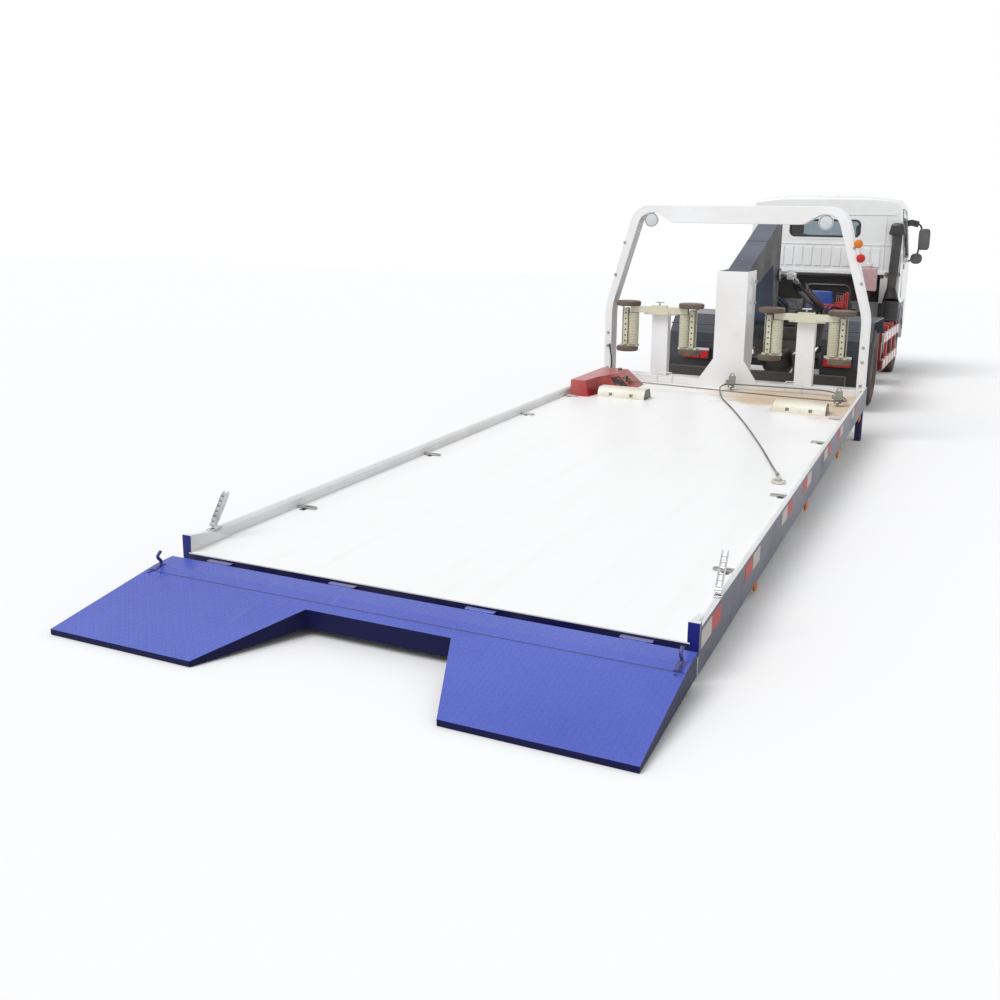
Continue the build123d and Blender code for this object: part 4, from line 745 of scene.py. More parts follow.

# Wheel stops: two cream half-round humps across the deck with two drain slots each. A plate painted
# black for the shade inside closes each end.
stop_cream = enamel("stop_cream", (0.78, 0.76, 0.66), dust=(0.55, 0.45, 0.22), soiled=0.6, rough=(0.4, 0.7))
softened("wheel_stops", 0.004, stop_cream, 3)
half_round = np.linspace(0.18, np.pi - 0.18, 16)
stop_y, stop_radius, stop_top = 4.565, 0.091, 0.0775
caps = []
for middle in (-0.662, 0.770):
    for end in (-1, 1):
        heights = np.minimum(stop_radius * np.sin(half_round), stop_top)
        outline = np.stack((stop_y + stop_radius * np.cos(half_round), heights), -1)
        outline = np.concatenate((((stop_y + stop_radius, 0.001),), outline,
            ((stop_y - stop_radius, 0.001),)))
        rings = [np.insert(outline, 0, middle + end * x, axis=1) for x in (0.197, 0.2015)]
        caps.append(np.stack(rings))
# Painted shade: black plates over the humps' open ends.
skinned("stop_end_shade_plates", caps, hole_shade_and_conduit_black, "wheel_stops", smooth=False)

# Deck fittings: wire loops that lie over the slots, chrome strap tensioners on the rails' rear ends, and
# two snatch blocks that turn the rope: a grooved sheave between cheek plates, a shackle and a hook.
chrome, chrome_shader, chrome_place = new_finish("bright_chrome")
tarnish = blended(clouds(chrome_place, 0.05, 0.5, 0.8), (0.56, 0.57, 0.58), (0.26, 0.25, 0.24))
give(chrome_shader, {"Base Color": tarnish, "Metallic": 1.0, "Roughness": 0.16})
loop_turn = np.linspace(0, 2 * np.pi, 40, endpoint=False)
slot_x = 1.062
loop_x = slot_x + np.sign(np.cos(loop_turn)) * np.abs(np.cos(loop_turn)) ** 0.4 * 0.050
loop_y = np.sign(np.sin(loop_turn)) * np.abs(np.sin(loop_turn)) ** 0.7 * 0.015
loops, slots = [], []
for place in (0.780, 2.060, 3.505, 4.385):
    for side in (-1, 1):
        ring = np.stack((side * loop_x, place + loop_y, np.full(40, 0.0055)), -1)
        loops.append(hooped(ring, 0.0045, None, 8))
        slots.append(((side * slot_x - 0.030, place - 0.010, 0.0002),
            (side * slot_x + 0.030, place + 0.010, 0.0010)))
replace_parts(skinned("tie_down_loops", loops, zinc, "deck_fittings", closed=True), "deck_fittings")
# The slots are thin black plates on the deck: painted shade.
slabs("tie_down_slots", slots, hole_shade_and_conduit_black, "deck_fittings", 0.0)
tensioners, teeth = [], []
for name, side, y in (("left", -1, 0.165), ("right", 1, 0.340)):
    x = side * 1.131
    top = np.array([(x, y + 0.015 + 0.095 * share, 0.077 + 0.128 * share) for share in np.linspace(0, 1, 14)])
    for wall in (-0.012, 0.010):
        wide = 0.014 * np.sqrt(np.clip(1 - np.linspace(-1, 1, 14) ** 8, 0.02, 1))
        tensioners.append(swept(top + (wall, 0, 0), wide, 0.0014, 8, (1, 0, 0), 8))
    teeth += [drum(0.0045, -0.011, 0.011, top[step] - (0.001, 0, 0), (1, 0, 0), 10)
        for step in range(1, 13, 2)]
    teeth.append(drum(0.012, -0.013, 0.013, (x - 0.001, y + 0.014, 0.075), (1, 0, 0), 18))
    slabs("tensioner_foot_" + name, [((x - 0.013, y - 0.022, 0.053), (x + 0.016, y + 0.050, 0.060))],
        chrome, "deck_fittings", 0.001)
skinned("strap_tensioners", tensioners, chrome, "deck_fittings")
skinned("tensioner_spindles", teeth, chrome, "deck_fittings")
blocks, cheeks = [], []
for x, y, way in ((1.000, 4.940, 1), (0.062, 5.302, -1)):
    blocks.append(turned([(tip, 0.036), (0.032, 0.036), (0.026, 0.044), (0.032, 0.052), (tip, 0.052)],
        (x, y, 0), (0, 0, 1), 28))
    blocks.append(turned([(tip, 0.0), (0.012, 0.0), (0.012, 0.064), (0.008, 0.068), (tip, 0.068)],
        (x, y, 0), (0, 0, 1), 6))
    cheeks += [((x - 0.030, y - 0.030, 0.028), (x + 0.030, y + 0.030, 0.032)),
               ((x - 0.030, y - 0.030, 0.056), (x + 0.030, y + 0.030, 0.060)),
               ((x - 0.010, y - 0.010, 0.0), (x + 0.010, y + 0.010, 0.030)),
               ((x - 0.022, y - 0.012, 0.058), (x + 0.034, y - 0.007, 0.125)),
               ((x - 0.022, y + 0.007, 0.058), (x + 0.034, y + 0.012, 0.125)),
               ((x - 0.048, y - 0.006, 0.060), (x - 0.010, y + 0.006, 0.090))]
    turn = np.linspace(-0.3, 4.2, 18)
    eye = np.stack((x + way * (0.050 + 0.018 * np.cos(turn)), y + 0.030 + 0.018 * np.sin(turn),
                    0.044 + 0.010 * turn / 4), -1)
    blocks.append(swept(np.concatenate((((x + way * 0.02, y + 0.02, 0.044),), eye)), 0.005))
    shackle = np.stack((x + 0.006 + 0.016 * np.cos(turn), np.full(18, y), 0.134 + 0.016 * np.sin(turn)), -1)
    blocks.append(swept(shackle, 0.005, across=(0, 1, 0)))
skinned("snatch_blocks", blocks, zinc, "deck_fittings")
slabs("snatch_block_cheeks", cheeks, enamel("block_green", (0.34, 0.37, 0.32), dust=(0.12, 0.10, 0.08),
    soiled=0.9), "deck_fittings", 0.002)

# Front legs: navy box tubes with turned-out feet. They hold the bed's front up under the rails while
# it stands on the ground.
softened("support_legs", 0.003, enamel("leg_navy", navy_paint, dust=(0.20, 0.17, 0.14), soiled=0.3))

# Bed lamps: amber marker lamps like drops under the rails, two round chrome work lamps inside the
# gantry's corners, and an orange lamp over a red one on the right post.
amber_lens, red_lens = reflector("amber_lens", (0.80, 0.22, 0.02)), reflector("red_lens", (0.60, 0.02, 0.02))
clear_lens = reflector("clear_lens", (0.75, 0.78, 0.80))
drops = []
for place, drop in ((1.060, 0.056), (2.520, 0.076), (3.950, 0.076), (5.330, 0.068)):
    for side in (-1, 1):
        middle = np.array([(side * 1.137, place, -0.120 - drop * share) for share in np.linspace(0, 1, 9)])
        width = 0.028 * np.interp(np.linspace(0, 1, 9), (0, 0.15, 0.5, 0.85, 1), (0.55, 0.8, 1, 0.7, 0.2))
        drops.append(swept(middle, 0.45 * width, width, 14, (0, 1, 0)))
drops = skinned("marker_lamps", drops, amber_lens, "bed_lamps")
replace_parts(drops, "bed_lamps")
bowls, lenses, arms, lamp_x = [], [], [], 0.745
for side in (-1, 1):
    base = (side * lamp_x, gantry_rear, 1.432)
    bowls.append(turned([(tip, 0.066), (0.030, 0.064), (0.052, 0.045), (0.061, 0.012), (0.062, 0.0),
        (0.056, 0.0), (0.050, 0.010), (tip, 0.012)], base, (0, 1, 0), 36))
    lenses.append(turned([(tip, -0.004), (0.030, -0.0015), (0.052, 0.003), (0.052, 0.008), (tip, 0.008)],
        base, (0, 1, 0), 32))
    arms.append(swept([(side * lamp_x, 5.47, 1.49), (side * lamp_x, 5.47, 1.51)], 0.010, across=(0, 1, 0)))
skinned("work_lamp_bowls", bowls + arms, chrome, "bed_lamps")
skinned("work_lamp_lenses", lenses, clear_lens, "bed_lamps")
for name, lens, x, z in (("orange_post_lamp", amber_lens, 1.015, 1.265),
        ("red_post_lamp", red_lens, 1.042, 1.150)):
    skinned(name, [turned([(tip, 0.0), (0.034, 0.0), (0.036, 0.012), (0.033, 0.040), (0.022, 0.050),
        (tip, 0.052)], (x, gantry_rear + 0.002, z), (0, -1, 0), 28)], lens, "bed_lamps")

# Chassis: black channel rails with the subframe, springs, axles, engine and the arm's pedestal, all
# under a film of road dirt that thickens downwards.
chassis_black = enamel("chassis_black", (0.016, 0.016, 0.018), dust=(0.13, 0.105, 0.085), soiled=0.7,
                       rough=(0.35, 0.75), low_dust=0.7)
for node in ("chassis_frame", "arm_pedestal", "front_axle", "rear_axle", "knuckle_left", "knuckle_right"):
    softened(node, 0.002, chassis_black)
cast_grey = enamel("cast_engine", (0.10, 0.105, 0.11), dust=(0.10, 0.075, 0.05), soiled=0.9, rough=(0.5, 0.8))
softened("engine_block", 0.006, cast_grey)
fins = [((-0.19, 11.27 + 0.082 * step, 0.955), (0.19, 11.31 + 0.082 * step, 0.985)) for step in range(9)]
fins += [((-0.21, 11.24, 0.955), (0.21, 11.98, 0.968)), ((0.295, 11.30, 0.70), (0.345, 11.48, 0.86)),
         ((0.295, 11.70, 0.72), (0.36, 11.94, 0.84)), ((-0.36, 11.30, 0.76), (-0.295, 11.96, 0.84))]
slabs("engine_covers", fins, cast_grey, "engine_block", 0.006)
skinned("engine_pulleys", [turned([(tip, 0), (radius, 0), (radius - 0.012, 0.012), (radius, 0.024),
    (tip, 0.024)], (x, 12.0, z), (0, 1, 0), 30) for x, z, radius in ((0, 0.55, 0.09), (0.13, 0.80, 0.06),
    (-0.13, 0.78, 0.05))], chassis_black, "engine_block")

# Lift arm: a boxed gooseneck with a welded seam across the upper part, its top faces painted lighter
# slate for the light that falls on them and its sides black; twin gloss-black cylinders push it by a
# cross shaft with white ends.


def arm_paint():
    """Lighter slate painted on faces that look up or back, for the light that falls on them, black on
    those that look sideways, and a dark line 8 mm wide at the seam's height."""
    material, shader, place = new_finish("arm_enamel")
    facing = place.node.outputs["Normal"]
    sideways = ranged(combined("ABSOLUTE", axis_of(facing, "X")), 0.5, 0.8)
    dusty = clouds(place, 0.3, 0.4, 0.75, 6)
    lit_face_slate = blended(dusty, (0.060, 0.072, 0.115), (0.085, 0.098, 0.140))
    # Painted light: the lighter slate on faces that look up or back; black on the sideways faces.
    coat = blended(sideways, lit_face_slate, (0.010, 0.010, 0.014))
    off_seam = combined("ABSOLUTE", combined("SUBTRACT", axis_of(place, "Z"), 1.66))
    seam = combined("LESS_THAN", off_seam, 0.004)
    give(shader, {"Base Color": blended(seam, coat, (0.006, 0.006, 0.008)),
        "Roughness": ranged(dusty, 0, 1, 0.45, 0.65)})
    return material


softened("lift_arm", 0.006, arm_paint(), 3)
gloss_black = enamel("gloss_black", (0.008, 0.008, 0.010), dust=(0.08, 0.07, 0.06), soiled=0.35,
    rough=(0.12, 0.4))
painted_over("cylinder_barrels", gloss_black)
painted_over("cylinder_rods", chrome)
foot, eye = np.array((9.300, 0.935)), np.array((7.030, 1.350))
way = unit(eye - foot)
glands, eyes = [], []
for x in (-0.215, 0.215):
    for start, size in ((1.655, 0.068), (1.60, 0.065), (0.12, 0.066)):
        base = foot + way * start
        glands.append(collar(0.052, size, 0.0, 0.030, (x, *base), (0, *way), 28))
    eyes.append(collar(0.026, 0.047, 0.030, -0.030, (x, *eye), (1, 0, 0), 28))
    eyes.append(drum(0.024, 0.010, 0.024, (x + np.sign(x) * 0.030, *eye), (1, 0, 0), 24))
skinned("cylinder_glands", glands, gloss_black, "cylinder_barrels")
skinned("cylinder_eyes", eyes, enamel("eye_white", white_paint, soiled=0.6), "cylinder_rods")

# Rear under-run bar: a black box beam across the chassis tail on two hangers, low enough to keep
# a car from driving in under the frame. Its black also stands in for part of the shade under the chassis.
slabs("rear_underrun_bar", [((-0.86, 6.625, 0.29), (0.86, 6.70, 0.41))]
    + [((middle - 0.035, 6.635, 0.40), (middle + 0.035, 6.69, 0.600)) for middle in (-0.395, 0.395)],
    chassis_black, "chassis_frame", 0.005)

# Rear mudguards: dark slate plates behind the wheels with black rubber flaps, left bare, and tail
# lamps of red cells under a pale strip in black frames.
slate_coat = enamel("mudguard_slate", (0.030, 0.034, 0.050), dust=(0.10, 0.09, 0.08), soiled=0.25,
    rough=(0.4, 0.7))
softened("mudguards", 0.003, slate_coat)
flap_rubber = enamel("flap_rubber", (0.012, 0.012, 0.013), dust=(0.05, 0.042, 0.036), soiled=0.4,
    rough=(0.5, 0.8))
flaps, frames, reds, pales, seams = [], [], [], [], []
for side in (-1, 1):
    inner, outer = side * 0.550, side * 1.020
    flaps.append(((inner, 7.146, 0.245), (outer, 7.1585, 0.440)))
    seams += [((inner, 7.152, z), (outer, 7.1605, z + 0.012)) for z in (0.62, 0.80)]
    near, far = sorted((side * 0.580, side * 0.865))
    frames.append(((near, 7.118, 0.445), (far, 7.160, 0.565)))
    reds += [((near + 0.006 + 0.092 * cell, 7.108, 0.451), (near + 0.089 + 0.092 * cell, 7.120, 0.528))
             for cell in range(3)]
    pales.append(((near + 0.006, 7.109, 0.533), (far - 0.006, 7.120, 0.560)))
slabs("mud_flaps", flaps, flap_rubber, "mudguards", 0.002)
slabs("mudguard_beads", seams, slate_coat, "mudguards", 0.004)
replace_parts(slabs("tail_lamp_frames", frames, flap_rubber, "tail_lamps", 0.004), "tail_lamps")
slabs("tail_lamp_red_cells", reds, red_lens, "tail_lamps", 0.004)
slabs("tail_lamp_pale_strips", pales, clear_lens, "tail_lamps", 0.004)

# Side guards: two bars on red posts along each side, between the cab and the rear wheels. They are
# striped red and white on the slant.


def striped_paint():
    """Bars (outside 1.012 m) striped in bands of 0.21 m, slanting by their height; posts all red."""
    material = enamel("guard_enamel", (0.36, 0.020, 0.022), dust=(0.30, 0.24, 0.20), soiled=0.45)
    shader, place, coat = coat_of(material)
    slant = plus(axis_of(place, "Y"), axis_of(place, "Z"))
    band = combined("GREATER_THAN", combined("FRACT", times(slant, 2.4)), 0.5)
    white = times(band, beyond(axis_of(place, "X"), 1.012))
    give(shader, {"Base Color": blended(white, coat, (0.62, 0.60, 0.58))})
    return material


softened("side_guards", 0.004, striped_paint())

# Boxes on the chassis: ribbed fuel tank with straps and cap, battery box, silencer, the air cleaner's
# drum with clips, and the pink coolant bottle on its stand.
tank_metal = enamel("tank_metal", (0.42, 0.43, 0.44), dust=(0.25, 0.21, 0.17), soiled=0.6,
    rough=(0.3, 0.6), metal=0.7)
softened("fuel_tank", 0.004, tank_metal)
slabs("tank_straps", [((0.440, y, 0.322), (0.947, y + 0.05, 0.706)) for y in (9.74, 10.02)],
    chassis_black, "fuel_tank", 0.006)
skinned("tank_cap", [turned([(tip, 0), (0.045, 0), (0.045, 0.02), (0.038, 0.03), (tip, 0.03)],
    (0.84, 9.69, 0.699), (0, 0, 1), 28)], chassis_black, "fuel_tank")
softened("battery_box", 0.010, flap_rubber, 3)
slabs("battery_box_lid", [((-0.946, 9.634, 0.640), (-0.44, 10.166, 0.706))]
    + [((-0.945, 9.70 + 0.08 * step, 0.40), (-0.938, 9.73 + 0.08 * step, 0.62)) for step in range(6)],
    flap_rubber, "battery_box", 0.005)
heat_stained = enamel("heat_stained", (0.22, 0.19, 0.17), dust=(0.16, 0.08, 0.04), soiled=0.9,
    rough=(0.4, 0.7), metal=0.6)
painted_over("silencer", heat_stained)
skinned("silencer_seams", [collar(0.095, 0.103, 0, 0.012, (-0.62, y, 0.48), (0, 1, 0), 40)
    for y in (8.71, 8.90, 9.24, 9.428)], heat_stained, "silencer")
painted_over("air_cleaner", flap_rubber)
skinned("air_cleaner_bands", [collar(0.100, 0.110, 0, 0.018, (0.93, 10.64, z), (0, 0, 1), 40)
    for z in (0.78, 0.90, 0.985)], chassis_black, "air_cleaner")
pink = enamel("milky_pink", (0.72, 0.47, 0.48), dust=(0.50, 0.36, 0.34), soiled=0.4, rough=(0.3, 0.5))
give(pink.node_tree.nodes["Principled BSDF"], {"Transmission Weight": 0.35, "Subsurface Weight": 0.2})
softened("coolant_bottle", 0.012, pink, 3)
skinned("bottle_cap", [turned([(tip, 0), (0.046, 0), (0.046, 0.035), (0.038, 0.045), (tip, 0.045)],
    (0.63, 10.545, 1.455), (0, 0, 1), 16)], enamel("cap_white", (0.7, 0.7, 0.74)), "coolant_bottle",
    smooth=False)

# Lift hydraulics behind the cab: a blue oil tank and a red valve bank with black-knobbed levers and
# rigid red pipes, under a black tube hoop.
oil_blue = enamel("oil_tank_blue", (0.025, 0.075, 0.32), soiled=0.3)
valve_red = enamel("valve_red", (0.42, 0.016, 0.020), dust=(0.20, 0.10, 0.08), soiled=0.5)
oil_tank = slabs("oil_tank", [((-0.06, 10.08, 0.887), (0.25, 10.32, 1.120)),
    ((-0.02, 10.11, 1.115), (0.21, 10.29, 1.127))], oil_blue, "hydraulic_unit", 0.012)
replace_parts(oil_tank, "hydraulic_unit")
slabs("hydraulic_shelf", [((-0.425, 10.05, 0.875), (0.425, 10.34, 0.887))], chassis_black,
    "hydraulic_unit", 0.002)
slabs("valve_bank", [((0.290 + 0.027 * part, 10.09, 0.887), (0.315 + 0.027 * part, 10.29, 0.990))
    for part in range(4)] + [((0.290, 10.07, 0.93), (0.40, 10.10, 0.97))], valve_red, "hydraulic_unit", 0.004)
levers, knobs, pipes = [], [], []
for step in range(4):
    x = 0.305 + 0.026 * step
    levers.append(swept([(x, 10.125, 0.985), (x, 10.118, 1.04), (x, 10.108, 1.090)], 0.005, across=(1, 0, 0)))
    knobs.append(turned([(tip, 0), (0.010, 0.004), (0.013, 0.014), (0.010, 0.024), (tip, 0.028)],
        (x, 10.107, 1.085), (0, -0.1, 1), 14))
    pipes.append(swept(bent([(x, 10.09, 0.93), (x, 9.99 - 0.03 * step, 0.94),
        (0.33 - 0.04 * step, 9.92 - 0.03 * step, 0.97), (0.30 - 0.05 * step, 9.70, 0.955),
        (0.30 - 0.05 * step, 9.46, 0.93)], 0.06), 0.011, across=(0, 0.3, 1)))
    pipes.append(swept(bent([(x, 10.20, 0.985), (x, 10.20, 1.05 + 0.015 * step),
        (x + 0.06, 10.14, 1.06 + 0.02 * step), (x + 0.06, 10.12, 0.90)], 0.035), 0.010, across=(1, 0.2, 0)))
skinned("valve_levers", levers, zinc, "hydraulic_unit")
skinned("lever_knobs", knobs, gloss_black, "hydraulic_unit")
skinned("hydraulic_pipes", pipes, valve_red, "hydraulic_unit")
skinned("tube_hoop", [swept(bent([(-0.14, 10.33, 0.880), (-0.14, 10.36, 1.20), (0.44, 10.36, 1.20),
    (0.44, 10.33, 0.880)], 0.10), 0.017, across=(0, 1, 0))], gloss_black, "hydraulic_unit")

# Wheels: six tyres with three grooves and shoulder lugs, dusty brown on the tread and walls, on
# silver rims with a ring of nuts.


def tyre_paint():
    """Black rubber under brown dust that lies in patches and fine grains."""
    material, shader, place = new_finish("dusty_rubber")
    grain = clouds(place, 0.04, 0.3, 0.7, 8)
    dust = plus(times(grain, 0.25), times(clouds(place, 0.25, 0.3, 0.7, 6), 0.35))
    give(shader, {"Base Color": blended(dust, (0.022, 0.021, 0.020), (0.19, 0.15, 0.11)), "Roughness": 0.82})
    raised(shader, grain, 0.0008, 0.4)
    return material


front_axle_y, rear_axle_y, wheel_radius = 11.70, 7.90, 0.400


def tyre_grid(x, y):
    """Rings of one closed section round a wheel's axle, a radius above the ground. Across the tread,
    three grooves run round and every sixth step is cut 9 mm deep at the shoulders."""
    steps, half, bead, lug_depth = 156, 0.1075, 0.204, 0.009
    across = np.array([-0.70, -0.80, -0.93, -1.0, -0.97, -0.93, -0.86, -0.76, -0.60, -0.44, -0.43, -0.36,
        -0.35, -0.20, -0.05, -0.04, 0.04, 0.05, 0.20, 0.35, 0.36, 0.43, 0.44, 0.60, 0.76, 0.86, 0.93,
        0.97, 1.0, 0.93, 0.80, 0.70])
    level = np.array([0, 0.10, 0.26, 0.46, 0.72, 0.86, 0.95, 0.998, 1, 1, 0.955, 0.955, 1, 1, 1, 0.955,
        0.955, 1, 1, 1, 0.955, 0.955, 1, 1, 0.998, 0.95, 0.86, 0.72, 0.46, 0.26, 0.10, 0])
    rings = np.broadcast_to(bead + level * (wheel_radius - bead), (steps, len(level))).copy()
    shoulder = (np.abs(across) > 0.5) & (level > 0.9)
    cut = np.arange(steps) % 6 < 2
    rings[np.ix_(cut, shoulder)] -= lug_depth
    turn = np.arange(steps)[:, None] * 2 * np.pi / steps
    return np.stack((np.broadcast_to(x + across * half, rings.shape), y + rings * np.sin(turn),
        wheel_radius + rings * np.cos(turn)), -1)


rubber = tyre_paint()
nut_circle = 0.085
rim_silver = enamel("rim_silver", (0.40, 0.41, 0.43), dust=(0.22, 0.18, 0.14), soiled=0.7,
    rough=(0.3, 0.6), metal=0.5)
for name, side in both_sides:
    for tyre, rim, middles, y, face in (("front_tyre_", "front_rim_", (0.862,), front_axle_y, 0.925),
            ("rear_tyres_", "rear_rims_", (0.6625, 0.9075), rear_axle_y, 0.862)):
        mesh_rings = [tyre_grid(side * middle, y) for middle in middles]
        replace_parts(skinned(tyre + name + "_treaded", mesh_rings, rubber, tyre + name, closed=True),
            tyre + name)
        softened(rim + name, 0.002, rim_silver)
        nuts = [(side * face, y + nut_circle * np.cos(turn), wheel_radius + nut_circle * np.sin(turn))
            for turn in np.linspace(0, 2 * np.pi, 8, endpoint=False)]
        bolt_heads(rim + name + "_nuts", nuts, (side, 0, 0), 0.014, rim + name)

# Cab: a white welded shell whose roof falls away towards its sides. Its rear wall has a row of
# pressed panels under two beads, with a rounded window in a dark seal between them, and below it
# the tunnel over the engine, its faces painted black for the shade in that pocket. Black trims line
# the front wheels' arches.
cab_paint = enamel("cab_enamel", (0.82, 0.83, 0.83), dust=(0.50, 0.46, 0.40), soiled=0.22, rough=(0.18, 0.5))


def crowned(piece):
    """The roof lowered towards its sides: by 62 mm times the square of how far a point lies between
    0.42 m and 0.96 m from the middle, fading out from 2.36 m down to 2.14 m."""
    shape = bmesh.new()
    shape.from_mesh(piece.data)
    crown_start, crown_span, crown_drop, crown_foot, crown_fade = 0.42, 0.54, 0.062, 2.14, 0.22
    for cut in np.linspace(-0.94, 0.94, 18):
        bmesh.ops.bisect_plane(shape, geom=shape.verts[:] + shape.edges[:] + shape.faces[:],
                               plane_co=(cut, 0, 0), plane_no=(1, 0, 0))
    for point in shape.verts:
        out = np.clip((abs(point.co.x) - crown_start) / crown_span, 0, 1)
        point.co.z -= crown_drop * out ** 2 * np.clip((point.co.z - crown_foot) / crown_fade, 0, 1)
    shape.to_mesh(piece.data)
    shape.free()
    piece.data.set_sharp_from_angle(angle=np.radians(32))


def rounded_loop(half_x, low, high, radius, steps=8):
    """A rectangle with round corners as a closed line of (X, Z) points."""
    turn = np.linspace(0, np.pi / 2, steps)
    corners = ((half_x, high, 0), (-half_x, high, 1), (-half_x, low, 2), (half_x, low, 3))
    line = [np.stack((np.sign(x) * (abs(x) - radius) + radius * np.cos(turn + quarter * np.pi / 2),
        z - radius * (1 if z == high else -1) + radius * np.sin(turn + quarter * np.pi / 2)), -1)
        for x, z, quarter in corners]
    return np.concatenate(line)


def around(loop, y):
    """A closed line of (X, Z) points set at a Y."""
    return np.insert(loop, 1, y, axis=1)


cab_waist = 1.53


def cab_side(z, half_x, fall):
    """How far out the cab's side stands at a height: upright as high as its waist, and from there
    leaning inwards by its fall for each metre."""
    return half_x - max(0, z - cab_waist) * fall


rear_wall, frame_face = 10.803, 10.796
shell = softened("cab_shell", 0.010, cab_paint, 3)
crowned(shell)
shell.data.materials.append(chassis_black)
middles = np.empty(3 * len(shell.data.polygons))
shell.data.polygons.foreach_get("center", middles)
x, y, z = middles.reshape(-1, 3).T
tunnel_front = on_truck([(0, 11.225, 0)])[0, 1]
# The shell's faces in the tunnel under the rear wall are painted black as the shade in that pocket.
shaded_tunnel = (np.abs(x) < 0.802) & (y < tunnel_front) & (z < 1.352)
shell.data.polygons.foreach_set("material_index", shaded_tunnel.astype(np.int32))
panel_places = np.arange(-0.69, 0.70, 0.1245)
panels = [((x - 0.050, 10.789, 1.445), (x + 0.050, rear_wall, 1.695)) for x in panel_places]
slabs("rear_wall_panels", panels, cab_paint, "cab_shell", 0.0065)
beads = [((-0.90, 10.7925, z), (0.90, rear_wall, z + 0.022)) for z in (1.725, 2.115)]
beads += [((side * 0.775 - 0.010, 10.7925, 1.36), (side * 0.775 + 0.010, rear_wall, 2.115))
    for side in (-1, 1)]
beads.append(((-0.86, 10.786, 1.350), (0.86, rear_wall, 1.395)))
slabs("rear_wall_beads", beads, cab_paint, "cab_shell", 0.0048)
slabs("rear_wall_lower_edge", [((-0.80, 10.788, 1.310), (0.80, rear_wall, 1.345))], gloss_black,
    "cab_shell", 0.004)
inner_loop, outer_loop = rounded_loop(0.452, 1.838, 2.047, 0.060), rounded_loop(0.500, 1.795, 2.090, 0.070)
frame_grid = np.stack([around(inner_loop, 10.801), around(inner_loop, frame_face),
    around(outer_loop, frame_face), around(outer_loop, 10.801)], 1)
skinned("rear_window_frame", [frame_grid], cab_paint, "cab_shell", closed=True, smooth=False)
seal = hooped(around(inner_loop, frame_face), 0.013, 0.009, 8, (0, 1, 0))
skinned("rear_window_seal", [seal], flap_rubber, "cab_shell", closed=True)
roof_beads = [swept([(x, 10.86, 2.367 - 0.02 * abs(x)), (x, 11.4, 2.394 - 0.02 * abs(x)),
    (x, 12.0, 2.418 - 0.02 * abs(x))], 0.012, 0.006, 10, (0, 0, 1)) for x in (-0.36, -0.12, 0.12, 0.36)]
skinned("roof_beads", roof_beads, cab_paint, "cab_shell")
arch_radius = 0.524
for name, side in both_sides:
    slabs("side_trim_" + name, [((side * 0.990, 10.84, 1.02), (side * 1.004, 10.90, 1.06))], amber_lens,
        "cab_shell", 0.004)
    gutter = [(side * cab_side(z, 0.9985, 0.084) + side * 0.001, y, z)
        for y, z in ((11.28, 1.05), (11.28, 1.6), (11.28, 2.20), (11.30, 2.225), (11.95, 2.225),
        (12.10, 2.05), (12.305, 1.61))]
    skinned("door_gutter_" + name, [swept(bent(gutter, 0.04), 0.006, across=(side, 0, 0))], flap_rubber,
        "cab_shell")
    arch_line = [(side * 0.998, front_axle_y + arch_radius * np.cos(turn),
        wheel_radius + arch_radius * np.sin(turn)) for turn in np.linspace(0.36, np.pi - 0.36, 30)]
    skinned("wheel_arch_trim_" + name, [swept(arch_line, 0.022, 0.006, 10, (side, 0, 0))], flap_rubber,
        "cab_shell")
    slabs("cab_step_" + name, [((side * 0.80, 12.25, 0.655), (side * 0.985, 12.44, 0.668))], flap_rubber,
        "cab_shell", 0.003)

# Doors: white skins with a black pull handle on a plate, and a rubber line round each window. The
# doors' glass and the cab's has a grey tint.
for name, side in both_sides:
    crowned(softened("door_" + name, 0.004, cab_paint))
    window = np.array([(11.425, 1.605), (11.425, 2.105), (11.860, 2.105), (12.165, 1.605)])
    loop = []
    for here, before, after in zip(window, np.roll(window, 1, 0), np.roll(window, -1, 0)):
        one, two = unit(before - here), unit(after - here)
        share = np.linspace(0, 1, 6)[:, None]
        loop.append((1 - share) ** 2 * (here + one * 0.04) + 2 * share * (1 - share) * here
                    + share ** 2 * (here + two * 0.04))
    line = np.array([(side * cab_side(z, 1.000, 0.0838), y, z) for y, z in np.concatenate(loop)])
    skinned("door_window_seal_" + name, [hooped(line, 0.017, 0.005, 8, (side, 0, 0))], flap_rubber,
        "door_" + name, closed=True)
    slabs("door_handle_plate_" + name, [((side * 0.996, 11.345, 1.430), (side * 1.004, 11.510, 1.500))],
        flap_rubber, "door_" + name, 0.003)
    pull = [(side * 1.002, 11.36, 1.475), (side * 1.006, 11.38, 1.475), (side * 1.006, 11.47, 1.475),
            (side * 1.002, 11.49, 1.475)]
    skinned("door_pull_" + name, [swept(pull, 0.009, 0.004, 10, (side, 0, 0))], gloss_black, "door_" + name)


def window_glass():
    """Clear glass with a grey tint."""
    material, shader, place = new_finish("tinted_glass")
    tint = blended(clouds(place, 0.6, 0.3, 0.8), (0.50, 0.56, 0.60), (0.42, 0.47, 0.50))
    give(shader, {"Base Color": tint, "Transmission Weight": 1.0, "Roughness": 0.03, "IOR": 1.45})
    return material


cab_pane = window_glass()
for node in ("cab_glass", "door_glass_left", "door_glass_right"):
    crowned(softened(node, 0.0008, cab_pane))

